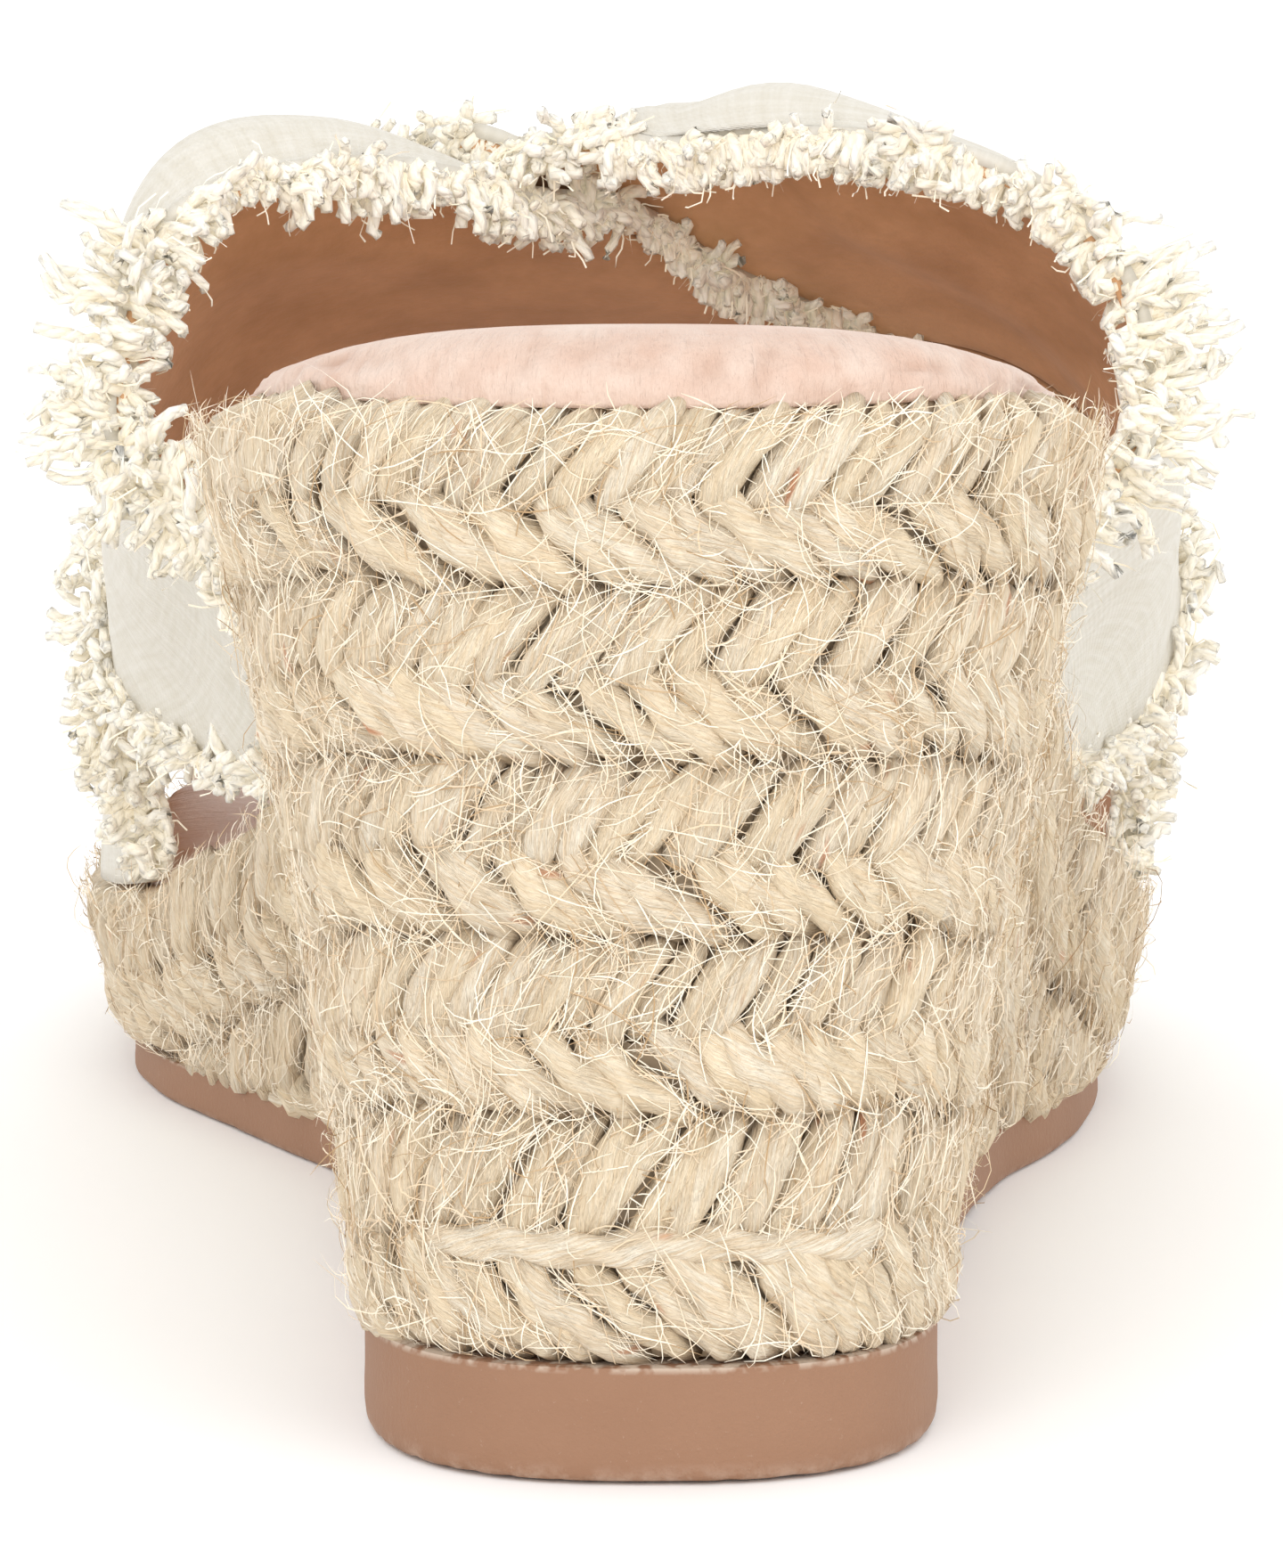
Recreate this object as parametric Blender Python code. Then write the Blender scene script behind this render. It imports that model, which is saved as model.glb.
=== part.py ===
"""Espadrille wedge sandal, the right shoe of a pair.

Its pieces are the outsole, the braided wedge, the insole, the crossed straps and their frayed edges.

The shoe stands on its sole, +Z up, with its toe towards -Y and its inner (medial) side towards +X.
The origin lies on the floor under the middle of the whole shoe. Sizes are in millimetres.
"""

import math

import bmesh
import bpy
import numpy as np
from mathutils import Vector

MM = 0.001

# The sole unit, driving sizes
SOLE_LENGTH = 240.0
BALL_WIDTH = 96.0
SEAT_WIDTH = 70.5
HEEL_HEIGHT = 87.5
PLATFORM_HEIGHT = 17.8
TOE_SPRING = 4.0
HEEL_ROUND = 35.0
TOE_ROUND = 56.0
TOE_SHIFT = 12.0
MIDDLE_ALONG = 119.8
MIDDLE_SIDE = 1.8

# The outsole under it
LIFT_WIDTH = 45.4
TREAD_WIDTH = 88.0
LIFT_ROUND = 27.0
BACK_RAKE = 9.5
TOE_SET_BACK = 4.0
OUTSOLE_HEEL = 9.9
OUTSOLE_BALL = 3.5
OUTSOLE_LIP = 0.4
OUTSOLE_EDGE = 0.8
WAIST_RISE = 1.2

# The jute braid rows
ROW_HEIGHT = 14.3
BASE_ROW_HEIGHT = 19.9
BRAID_RELIEF = 1.5
UPPER_ROWS = 4

# The padded insole
INSOLE_MARGIN = 3.4
INSOLE_PAD = 6.0

# The crossed straps
STRAP_THICKNESS = 2.2
STRAP_JOIN = 0.5
STRAP_INSET = 2.9
FOOT_SHARE = 0.05
FOOT_GAP = 0.5
INSTEP_HEIGHT = 56.5
STRAP_SPAN = 98.0
BACK_BULGE = 2.4
CREST_REACH = 9.0
CREST_HOLD = 10.0
CREST_FALL = 17.0

# The frayed edges
FRINGE_LENGTH = 9.0
FRINGE_SPREAD = 2.4
FRINGE_CURL = 4.6
FRINGE_DROOP = 2.2
FRINGE_FLATTEN = 0.62 * FRINGE_CURL
OVER_RAMP = 13.0
OVER_RAMP_END = 20.0
LOCK_PITCH = 6.2
LOCK_STEPS = 3
FRINGE_START = 0.022
FRINGE_ROOT = 0.5
FRINGE_FREE_HEIGHT = 7.0

CLEARANCE = 0.3

STATIONS = 32
STRAP_STEPS = 44
STRAP_BANDS = 6
ARCH_STEPS = 48


# Columns: share of SOLE_LENGTH, inner half width, outer half width, of the braid's top edge
TOP_OUTLINE = (
    (0.00, 0.500 * SEAT_WIDTH, 0.500 * SEAT_WIDTH),
    (0.14, 0.500 * SEAT_WIDTH, 0.500 * SEAT_WIDTH),
    (0.25, 0.470 * SEAT_WIDTH, 0.485 * SEAT_WIDTH),
    (0.35, 0.438 * SEAT_WIDTH, 0.475 * SEAT_WIDTH),
    (0.46, 0.325 * BALL_WIDTH, 0.372 * BALL_WIDTH),
    (0.53, 0.360 * BALL_WIDTH, 0.410 * BALL_WIDTH),
    (0.57, 0.408 * BALL_WIDTH, 0.436 * BALL_WIDTH),
    (0.62, 0.470 * BALL_WIDTH, 0.458 * BALL_WIDTH),
    (0.66, 0.512 * BALL_WIDTH, 0.464 * BALL_WIDTH),
    (0.71, 0.536 * BALL_WIDTH, 0.460 * BALL_WIDTH),
    (0.79, 0.530 * BALL_WIDTH, 0.432 * BALL_WIDTH),
    (0.87, 0.515 * BALL_WIDTH, 0.395 * BALL_WIDTH),
    (1.00, 0.480 * BALL_WIDTH, 0.330 * BALL_WIDTH),
)

# Columns: share of SOLE_LENGTH, inner half width, outer half width, of the outsole
TREAD_OUTLINE = (
    (0.00, 0.500 * LIFT_WIDTH, 0.500 * LIFT_WIDTH),
    (0.22, 0.500 * LIFT_WIDTH, 0.505 * LIFT_WIDTH),
    (0.34, 0.515 * LIFT_WIDTH, 0.545 * LIFT_WIDTH),
    (0.44, 0.545 * LIFT_WIDTH, 0.610 * LIFT_WIDTH),
    (0.50, 0.300 * TREAD_WIDTH, 0.350 * TREAD_WIDTH),
    (0.55, 0.365 * TREAD_WIDTH, 0.405 * TREAD_WIDTH),
    (0.59, 0.420 * TREAD_WIDTH, 0.436 * TREAD_WIDTH),
    (0.66, 0.510 * TREAD_WIDTH, 0.460 * TREAD_WIDTH),
    (0.71, 0.537 * TREAD_WIDTH, 0.460 * TREAD_WIDTH),
    (0.79, 0.532 * TREAD_WIDTH, 0.430 * TREAD_WIDTH),
    (0.87, 0.515 * TREAD_WIDTH, 0.395 * TREAD_WIDTH),
    (1.00, 0.480 * TREAD_WIDTH, 0.330 * TREAD_WIDTH),
)

# Columns: share of SOLE_LENGTH, share of the rise from the platform to the heel height
TOP_PROFILE = (
    (0.00, 1.000),
    (0.04, 0.990),
    (0.09, 0.955),
    (0.15, 0.908),
    (0.21, 0.842),
    (0.29, 0.712),
    (0.375, 0.530),
    (0.46, 0.346),
    (0.53, 0.198),
    (0.565, 0.140),
    (0.62, 0.055),
    (0.665, 0.016),
    (0.71, 0.000),
    (1.00, 0.000),
)

# Columns: share of SOLE_LENGTH, arch height, inner half span, outer half span, inner and outer squareness
ARCH_PROFILE = (
    (0.33, 0.610 * INSTEP_HEIGHT, 0.452 * STRAP_SPAN, 0.412 * STRAP_SPAN, 6.0, 4.0),
    (0.42, 0.772 * INSTEP_HEIGHT, 0.458 * STRAP_SPAN, 0.424 * STRAP_SPAN, 6.0, 4.0),
    (0.47, 0.868 * INSTEP_HEIGHT, 0.466 * STRAP_SPAN, 0.442 * STRAP_SPAN, 5.5, 4.0),
    (0.52, 0.912 * INSTEP_HEIGHT, 0.473 * STRAP_SPAN, 0.456 * STRAP_SPAN, 5.0, 3.8),
    (0.58, 0.922 * INSTEP_HEIGHT, 0.480 * STRAP_SPAN, 0.462 * STRAP_SPAN, 4.2, 3.5),
    (0.65, 0.882 * INSTEP_HEIGHT, 0.484 * STRAP_SPAN, 0.460 * STRAP_SPAN, 3.4, 3.0),
    (0.71, 0.788 * INSTEP_HEIGHT, 0.486 * STRAP_SPAN, 0.450 * STRAP_SPAN, 3.0, 2.8),
    (0.79, 0.614 * INSTEP_HEIGHT, 0.480 * STRAP_SPAN, 0.420 * STRAP_SPAN, 2.7, 2.6),
    (0.86, 0.503 * INSTEP_HEIGHT, 0.455 * STRAP_SPAN, 0.375 * STRAP_SPAN, 2.5, 2.5),
)

# Columns: share of the arch from its inner to its outer foot, back and front edge as shares of SOLE_LENGTH
UNDER_STRAP = (
    (0.00, 0.385, 0.485),
    (0.035, 0.387, 0.540),
    (0.07, 0.389, 0.585),
    (0.15, 0.398, 0.645),
    (0.29, 0.420, 0.700),
    (0.37, 0.450, 0.735),
    (0.45, 0.500, 0.765),
    (0.51, 0.550, 0.785),
    (0.56, 0.595, 0.795),
    (0.66, 0.650, 0.805),
    (0.80, 0.662, 0.805),
    (1.00, 0.628, 0.790),
)
OVER_STRAP = (
    (0.00, 0.635, 0.850),
    (0.10, 0.632, 0.845),
    (0.20, 0.610, 0.828),
    (0.28, 0.580, 0.805),
    (0.36, 0.545, 0.775),
    (0.45, 0.508, 0.740),
    (0.52, 0.484, 0.712),
    (0.60, 0.460, 0.676),
    (0.70, 0.430, 0.636),
    (0.85, 0.390, 0.600),
    (0.93, 0.371, 0.568),
    (0.965, 0.366, 0.535),
    (1.00, 0.362, 0.485),
)

# Columns: share of the arch from its inner to its outer foot, rise of the straps' crest behind the back edge
CREST = (
    (0.00, 0.000),
    (0.10, 0.000),
    (0.20, 0.045 * INSTEP_HEIGHT),
    (0.30, 0.103 * INSTEP_HEIGHT),
    (0.36, 0.092 * INSTEP_HEIGHT),
    (0.42, 0.052 * INSTEP_HEIGHT),
    (0.47, 0.020 * INSTEP_HEIGHT),
    (0.52, 0.060 * INSTEP_HEIGHT),
    (0.58, 0.110 * INSTEP_HEIGHT),
    (0.62, 0.075 * INSTEP_HEIGHT),
    (0.67, 0.022 * INSTEP_HEIGHT),
    (0.73, 0.000),
    (1.00, 0.000),
)

# Columns: share of a row's height, share of BRAID_RELIEF that the wall stands out
ROW_RIB = (
    (0.04, -0.75),
    (0.15, 0.15),
    (0.32, 0.50),
    (0.51, 0.00),
    (0.72, 0.55),
    (0.90, 0.10),
    (0.985, -0.75),
)
BASE_ROW_RIB = (
    (0.03, -0.75),
    (0.14, 0.10),
    (0.30, 0.45),
    (0.44, 0.00),
    (0.52, 0.60),
    (0.60, 0.00),
    (0.80, 0.45),
    (1.00, 0.00),
)
TOP_EDGE_SHARE = 0.55

# Columns: share of the pad's height, inset from the pad's edge
PAD_ROUND = (
    (0.00, 0.05 * INSOLE_PAD),
    (0.34, 0.00 * INSOLE_PAD),
    (0.62, 0.10 * INSOLE_PAD),
    (0.82, 0.37 * INSOLE_PAD),
    (0.94, 0.92 * INSOLE_PAD),
    (1.00, 2.00 * INSOLE_PAD),
)


def smooth_curve(rows, column):
    """A curve through the table's rows that never overshoots them."""
    xs = np.array([row[0] for row in rows], float)
    ys = np.array([row[column] for row in rows], float)
    steps, rises = np.diff(xs), np.diff(ys)
    secants = rises / steps
    slopes = np.zeros(len(xs))
    for i in range(1, len(xs) - 1):
        before, after = secants[i - 1], secants[i]
        if before * after > 0:
            slopes[i] = 2 * before * after / (before + after)
    slopes[0], slopes[-1] = secants[0], secants[-1]

    def value(x):
        x = min(max(x, xs[0]), xs[-1])
        i = min(int(np.searchsorted(xs, x, side="right")) - 1, len(steps) - 1)
        share = (x - xs[i]) / steps[i]
        keep = (1 + 2 * share) * (1 - share) ** 2
        go = share * share * (3 - 2 * share)
        lead = share * (1 - share) ** 2 * steps[i]
        trail = share * share * (share - 1) * steps[i]
        return float(keep * ys[i] + go * ys[i + 1] + lead * slopes[i] + trail * slopes[i + 1])

    return value


def ease(x):
    """0 below 0, 1 above 1, and smooth between."""
    x = min(max(x, 0.0), 1.0)
    return x * x * (3 - 2 * x)


def place(along, side, height):
    """A point from its distance to the heel's back, its distance to the heel's axis and its height."""
    return Vector((side - MIDDLE_SIDE, MIDDLE_ALONG - along, height)) * MM


top_half = {1: smooth_curve(TOP_OUTLINE, 1), -1: smooth_curve(TOP_OUTLINE, 2)}
tread_half = {1: smooth_curve(TREAD_OUTLINE, 1), -1: smooth_curve(TREAD_OUTLINE, 2)}
top_rise = smooth_curve(TOP_PROFILE, 1)
arch_height = smooth_curve(ARCH_PROFILE, 1)
arch_span = {1: smooth_curve(ARCH_PROFILE, 2), -1: smooth_curve(ARCH_PROFILE, 3)}
arch_square = {1: smooth_curve(ARCH_PROFILE, 4), -1: smooth_curve(ARCH_PROFILE, 5)}
under_edges = (smooth_curve(UNDER_STRAP, 1), smooth_curve(UNDER_STRAP, 2))
over_edges = (smooth_curve(OVER_STRAP, 1), smooth_curve(OVER_STRAP, 2))
crest_rise = smooth_curve(CREST, 1)


def spring(along):
    """How far the toe has risen off the floor."""
    start = 0.78 * SOLE_LENGTH
    return TOE_SPRING * ease(0.6 * (along - start) / (SOLE_LENGTH - start)) / ease(0.6)


def top_height(along):
    """The height of the braid's top edge."""
    return PLATFORM_HEIGHT + (HEEL_HEIGHT - PLATFORM_HEIGHT) * top_rise(along / SOLE_LENGTH) + spring(along)


def outsole_top(along):
    """The height where the outsole meets the braid."""
    taper = ease(along / (0.71 * SOLE_LENGTH)) * 0.4 + 0.6 * min(along / (0.71 * SOLE_LENGTH), 1.0)
    return OUTSOLE_HEEL + (OUTSOLE_BALL - OUTSOLE_HEEL) * taper + spring(along)


def outsole_floor(along):
    """The outsole's underside: flat at heel and forefoot, hollow at the waist, rising at the toe."""
    waist = math.sin(math.pi * min(max((along / SOLE_LENGTH - 0.27) / 0.23, 0.0), 1.0)) ** 2
    return WAIST_RISE * waist + spring(along)


def outline_point(half, share, side, inset, back, front, heel_round, heel_power):
    """(along, side) of an outline at a share of its length. inset draws it in all round."""
    start, end = back + inset, SOLE_LENGTH - front - inset
    along = start + share * (end - start)
    width = half[side](along / SOLE_LENGTH) - inset
    heel_zone, toe_zone = heel_round - inset, TOE_ROUND - inset
    if along < start + heel_zone:
        reach = (start + heel_zone - along) / heel_zone
        return along, side * width * (1 - min(reach, 1.0) ** heel_power) ** (1 / heel_power)
    if along > end - toe_zone:
        reach = (along - (end - toe_zone)) / toe_zone
        rounding = (1 - min(reach, 1.0) ** 2.15) ** (1 / 2.15)
        return along, TOE_SHIFT + (side * width - TOE_SHIFT) * rounding
    return along, side * width


def top_point(share, side, inset=0.0):
    return outline_point(top_half, share, side, inset, 0.0, 0.0, HEEL_ROUND, 2.25)


def tread_point(share, side, inset=0.0):
    return outline_point(tread_half, share, side, inset, BACK_RAKE, TOE_SET_BACK, LIFT_ROUND, 2.6)


def stations():
    """(share, side) round an outline: inner side from heel to toe, then outer side back to the heel."""
    shares = [(1 - math.cos(math.pi * i / STATIONS)) / 2 for i in range(STATIONS + 1)]
    return [(share, 1) for share in shares] + [(share, -1) for share in shares[-2:0:-1]]


def mesh_object(name, points, faces, material):
    """A named object with one material from points in metres and faces by index."""
    mesh = bpy.data.meshes.new(name)
    mesh.from_pydata([tuple(point) for point in points], [], faces)
    mesh.materials.append(material)
    form = bmesh.new()
    form.from_mesh(mesh)
    bmesh.ops.recalc_face_normals(form, faces=form.faces)
    form.to_mesh(mesh)
    form.free()
    mesh.shade_smooth()
    mesh.set_sharp_from_angle(angle=math.radians(38))
    made = bpy.data.objects.new(name, mesh)
    bpy.context.scene.collection.objects.link(made)
    return made


def make_material(name, colour, roughness):
    material = bpy.data.materials.new(name)
    material.use_nodes = True
    shader = material.node_tree.nodes["Principled BSDF"]
    shader.inputs["Base Color"].default_value = (*colour, 1.0)
    shader.inputs["Roughness"].default_value = roughness
    shader.inputs["Metallic"].default_value = 0.0
    return material


def lofted_rings(rings):
    """Points and faces of a closed body through rings of stations, capped between its two sides."""
    count = len(rings[0])
    points = [point for ring in rings for point in ring]
    faces = []
    for level in range(len(rings) - 1):
        low, high = level * count, (level + 1) * count
        for i in range(count):
            j = (i + 1) % count
            faces.append((low + i, low + j, high + j, high + i))
    half = count // 2
    for base in (0, (len(rings) - 1) * count):
        faces.append((base, base + 1, base + count - 1))
        for i in range(1, half - 1):
            faces.append((base + i, base + i + 1, base + count - i - 1, base + count - i))
        faces.append((base + half - 1, base + half, base + half + 1))
    return points, faces


def wall_point(share, side, height, out):
    """A point of the wedge's wall at a height, standing out from its plain face by out."""
    top_along, top_side = top_point(share, side)
    low_along, low_side = tread_point(share, side)
    top, low = top_height(top_along), outsole_top(low_along)
    rise = (height - low) / (top - low)
    hollow = 1 + 0.4 * (top - low) / HEEL_HEIGHT
    lean = math.copysign(abs(rise) ** hollow, rise)
    along = low_along + (top_along - low_along) * lean
    across = low_side + (top_side - low_side) * lean
    away_along, away_side = outward(share, side)
    return along + away_along * out, across + away_side * out


def outward(share, side):
    """The direction (along, side) that points out of the top outline."""
    step = 0.002
    before = top_point(max(share - step, 0.0), side)
    after = top_point(min(share + step, 1.0), side)
    if share <= step:
        return -1.0, 0.0
    if share >= 1 - step:
        return 1.0, 0.0
    run, slip = after[0] - before[0], after[1] - before[1]
    length = math.hypot(run, slip)
    return -slip * side / length, run * side / length


def top_slope_scale(along):
    """How much taller a row's upright cut is where the top edge slopes."""
    slope = (top_height(along + 1.0) - top_height(along - 1.0)) / 2.0
    return math.sqrt(1 + slope * slope)


def wall_rows():
    """(drop below the top edge, stand out) of the wall's rings, from the top edge down."""
    rows = [(0.0, -TOP_EDGE_SHARE * BRAID_RELIEF)]
    for row in range(UPPER_ROWS):
        rows += [((row + share) * ROW_HEIGHT, rib * BRAID_RELIEF) for share, rib in ROW_RIB]
    start = UPPER_ROWS * ROW_HEIGHT
    rows += [(start + share * BASE_ROW_HEIGHT, rib * BRAID_RELIEF) for share, rib in BASE_ROW_RIB]
    rows.append((start + 1.6 * BASE_ROW_HEIGHT, 0.0))
    return rows


def make_wedge(material):
    """The wedge with its jute braid rows, which follow the footbed; the outsole cuts the lower ones off."""
    rings = []
    for drop, out in wall_rows():
        ring = []
        for share, side in stations():
            along, _ = top_point(share, side)
            height = top_height(along) - drop * top_slope_scale(along)
            ring.append(place(*wall_point(share, side, height, out), height))
        rings.append(ring)
    wedge = mesh_object("wedge", *lofted_rings(rings), material)
    cut = wedge.modifiers.new("outsole_seat", "BOOLEAN")
    cut.operation = "DIFFERENCE"
    cut.object = make_seat_cutter()
    return wedge


def make_seat_cutter():
    """Everything below the outsole's upper face."""
    steps, reach, depth = 40, BALL_WIDTH, HEEL_HEIGHT + BASE_ROW_HEIGHT
    alongs = [-0.2 * SOLE_LENGTH + 1.4 * SOLE_LENGTH * i / steps for i in range(steps + 1)]
    rings = []
    for along in alongs:
        seat = outsole_top(min(max(along, 0.0), SOLE_LENGTH)) + CLEARANCE
        rings.append([place(along, side, height) for side, height in
                      ((-reach, seat), (reach, seat), (reach, -depth), (-reach, -depth))])
    points = [point for ring in rings for point in ring]
    faces = [(0, 1, 2, 3), tuple(4 * steps + i for i in (3, 2, 1, 0))]
    for i in range(steps):
        for k in range(4):
            n = (k + 1) % 4
            faces.append((4 * i + k, 4 * i + n, 4 * (i + 1) + n, 4 * (i + 1) + k))
    cutter = mesh_object("seat_cutter", points, faces, None)
    cutter.hide_render = True
    cutter.display_type = "WIRE"
    return cutter


def make_outsole(material):
    """The moulded outsole, thick under the heel and thin under the ball."""
    rings = []
    levels = ((0.0, OUTSOLE_EDGE), (OUTSOLE_EDGE, 0.0), (None, 0.0))
    for rise, draw_in in levels:
        ring = []
        for share, side in stations():
            along, across = tread_point(share, side, draw_in - OUTSOLE_LIP)
            floor = outsole_floor(along)
            height = outsole_top(along) if rise is None else floor + rise
            ring.append(place(along, across, height))
        rings.append(ring)
    return mesh_object("outsole", *lofted_rings(rings), material)


def make_insole(material):
    """The padded insole, crowned, with rolled edges."""
    rings = []
    for share_up, inset in PAD_ROUND:
        ring = []
        for share, side in stations():
            along, across = top_point(share, side, INSOLE_MARGIN + inset)
            ring.append(place(along, across, top_height(along) + CLEARANCE + share_up * INSOLE_PAD))
        rings.append(ring)
    return mesh_object("insole", *lofted_rings(rings), material)


def arch_line(along):
    """(side, height) points of the strap lining's cross-section, from its inner to its outer foot."""
    share = along / SOLE_LENGTH
    rise = arch_height(share)
    foot = top_height(along) + FOOT_GAP
    line = []
    for i in range(ARCH_STEPS + 1):
        angle = math.pi * i / ARCH_STEPS
        side = 1 if i <= ARCH_STEPS / 2 else -1
        power = arch_square[side](share)
        narrow = abs(math.cos(angle)) ** (2 / power)
        up = abs(math.sin(angle)) ** (2 / power)
        base = top_half[side](share) - STRAP_INSET
        wide = base + (arch_span[side](share) - base) * ease(up / 0.5)
        line.append((side * wide * narrow, foot + rise * up))
    return np.array(line)


def crest(share, along):
    """How far the straps bulge up over the plain arch, ahead of their back edge."""
    back = min(under_edges[0](share), over_edges[0](share)) * SOLE_LENGTH
    ahead = along - back
    return crest_rise(share) * ease(ahead / CREST_REACH) * (1 - ease((ahead - CREST_HOLD) / CREST_FALL))


def strap_point(share, along):
    """A point of the lining's surface, at a share of the arch's length from its inner foot."""
    line = arch_line(along)
    run = np.concatenate([[0.0], np.cumsum(np.hypot(*np.diff(line, axis=0).T))])
    where = share * run[-1]
    height = np.interp(where, run, line[:, 1]) + crest(share, along)
    return Vector((np.interp(where, run, line[:, 0]), -along, height))


def strap_frame(share, along):
    """(point, outward normal, direction towards the toe) of the lining's surface."""
    step, reach = 0.012, 1.5
    low, high = max(share - step, 0.0), min(share + step, 1.0)
    across = strap_point(high, along) - strap_point(low, along)
    forward = strap_point(share, along + reach) - strap_point(share, along - reach)
    normal = across.cross(forward).normalized()
    normal.z *= ease(min(share, 1 - share) / FOOT_SHARE)
    normal.normalize()
    return strap_point(share, along), normal, forward.normalized()


def strap_place(point):
    """The strap's own point, whose Y is minus the distance along the shoe, in the part's frame."""
    return Vector((point.x - MIDDLE_SIDE, MIDDLE_ALONG + point.y, point.z)) * MM


def cover(edges, share, along, full, none):
    """1 where a strap lies, or within full of its edges, falling to 0 at none."""
    back, front = (edge(share) * SOLE_LENGTH for edge in edges)
    away = max(back - along, along - front, 0.0)
    return ease((none - away) / (none - full))


def over_lift(share, along):
    """How far the over strap stands off the lining's surface to pass over the under strap and its edges."""
    rear = ease((0.61 - along / SOLE_LENGTH) / 0.10)
    rear *= ease((share - 0.20) / 0.18) * ease((0.95 - share) / 0.22)
    over = cover(under_edges, share, along, OVER_RAMP, OVER_RAMP_END)
    return (STRAP_THICKNESS - STRAP_JOIN) * over + BACK_BULGE * rear


def no_lift(share, along):
    return 0.0


def strap_sheet(edges, lift):
    """Points and faces of one strap's wall."""
    columns = STRAP_BANDS + 1
    points = []
    for i in range(STRAP_STEPS + 1):
        share = i / STRAP_STEPS
        back, front = (edge(share) * SOLE_LENGTH for edge in edges)
        for layer in (0.0, STRAP_THICKNESS):
            for k in range(columns):
                along = back + (front - back) * k / STRAP_BANDS
                point, normal, _ = strap_frame(share, along)
                point += normal * (lift(share, along) + layer)
                if i in (0, STRAP_STEPS):
                    point.z = top_height(-point.y) + FOOT_GAP
                points.append(strap_place(point))
    ring = list(range(columns)) + list(range(2 * columns - 1, columns - 1, -1))
    faces = [tuple(ring), tuple(reversed([2 * columns * STRAP_STEPS + n for n in ring]))]
    for i in range(STRAP_STEPS):
        low, high = 2 * columns * i, 2 * columns * (i + 1)
        for k in range(len(ring)):
            a, b = ring[k], ring[(k + 1) % len(ring)]
            faces.append((low + a, low + b, high + b, high + a))
    return points, faces


def make_upper(material):
    """The two crossed straps, joined where they cross: one open shell, canvas over lining."""
    upper = mesh_object("upper", *strap_sheet(under_edges, no_lift), material)
    over = mesh_object("over_strap_form", *strap_sheet(over_edges, over_lift), material)
    over.hide_render = True
    over.display_type = "WIRE"
    join = upper.modifiers.new("crossing", "BOOLEAN")
    join.operation = "UNION"
    join.object = over
    return upper


def edge_run(edge):
    """Shares along a strap's edge, two to each lock of its frayed yarns."""
    fine = [FRINGE_START + (1 - 2 * FRINGE_START) * i / 200 for i in range(201)]
    spots = [strap_point(share, edge(share) * SOLE_LENGTH) for share in fine]
    run = np.concatenate([[0.0], np.cumsum([(b - a).length for a, b in zip(spots, spots[1:])])])
    count = LOCK_STEPS * int(run[-1] / LOCK_PITCH)
    return [float(np.interp(run[-1] * i / count, run, fine)) for i in range(count + 1)]


def lock_section(i, seed, low, high, curl, spread):
    """(away from the edge, off the lining) points round a section: a lock, or the valley between two."""
    turn = i // LOCK_STEPS
    sway = math.sin(2.1 * turn + seed) * math.cos(0.7 * turn + 1.7 * seed)
    lock = 1.0 if i % LOCK_STEPS else 0.60
    far = FRINGE_LENGTH * (lock + 0.12 * sway)
    out = curl * lock * (0.90 + 0.10 * sway)
    into = spread * lock * (0.85 - 0.15 * sway)
    tip = 0.5 * (low + high + out - into)
    return (
        (FRINGE_ROOT, low),
        (FRINGE_ROOT, high),
        (0.30 * far, high + 0.75 * out),
        (0.70 * far, high + out),
        (far, tip),
        (0.75 * far, low - 0.9 * into),
        (0.32 * far, low - 0.8 * into),
    )


def make_fringe(name, edges, which, lift, other_edges, material):
    """The frayed yarns along one edge of a strap: a roll with locks at LOCK_PITCH, fused into one body."""
    edge = edges[which]
    toe_ward = 1 if which else -1
    over = lift is over_lift
    points = []
    shares = edge_run(edge)
    for i, share in enumerate(shares):
        along = edge(share) * SOLE_LENGTH
        point, normal, forward = strap_frame(share, along)
        covered = cover(other_edges, share, along, 2.1 * FRINGE_LENGTH, 3.0 * FRINGE_LENGTH)
        foot = strap_point(0.0 if share < 0.5 else 1.0, along)
        free = ease((point.z - foot.z - FRINGE_FREE_HEIGHT) / FRINGE_FREE_HEIGHT)
        low, high = lift(share, along), lift(share, along) + STRAP_THICKNESS
        curl, spread = FRINGE_CURL, FRINGE_SPREAD * free
        if which == 0:
            level_top = ease((normal.z - 0.35) / 0.45)
            curl -= FRINGE_FLATTEN * level_top
            spread += FRINGE_DROOP * level_top
        if over:
            low += (STRAP_JOIN + CLEARANCE) * covered
            curl *= 1 - 0.6 * covered
            spread *= 1 - covered
        else:
            ceiling = over_lift(share, along) - CLEARANCE
            high += (min(ceiling, STRAP_THICKNESS) - STRAP_THICKNESS) * covered
            curl += (max(ceiling - high, 0.0) - curl) * covered
        section = lock_section(i, 1.0 + 2 * which + over, low, high, curl, spread)
        points += [strap_place(point + forward * toe_ward * out + normal * up) for out, up in section]
    count = len(points) // len(shares)
    last = len(shares) - 1
    faces = [tuple(range(count)), tuple(last * count + k for k in reversed(range(count)))]
    for i in range(last):
        for k in range(count):
            n = (k + 1) % count
            faces.append((i * count + k, i * count + n, (i + 1) * count + n, (i + 1) * count + k))
    return mesh_object(name, points, faces, material)


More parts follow.
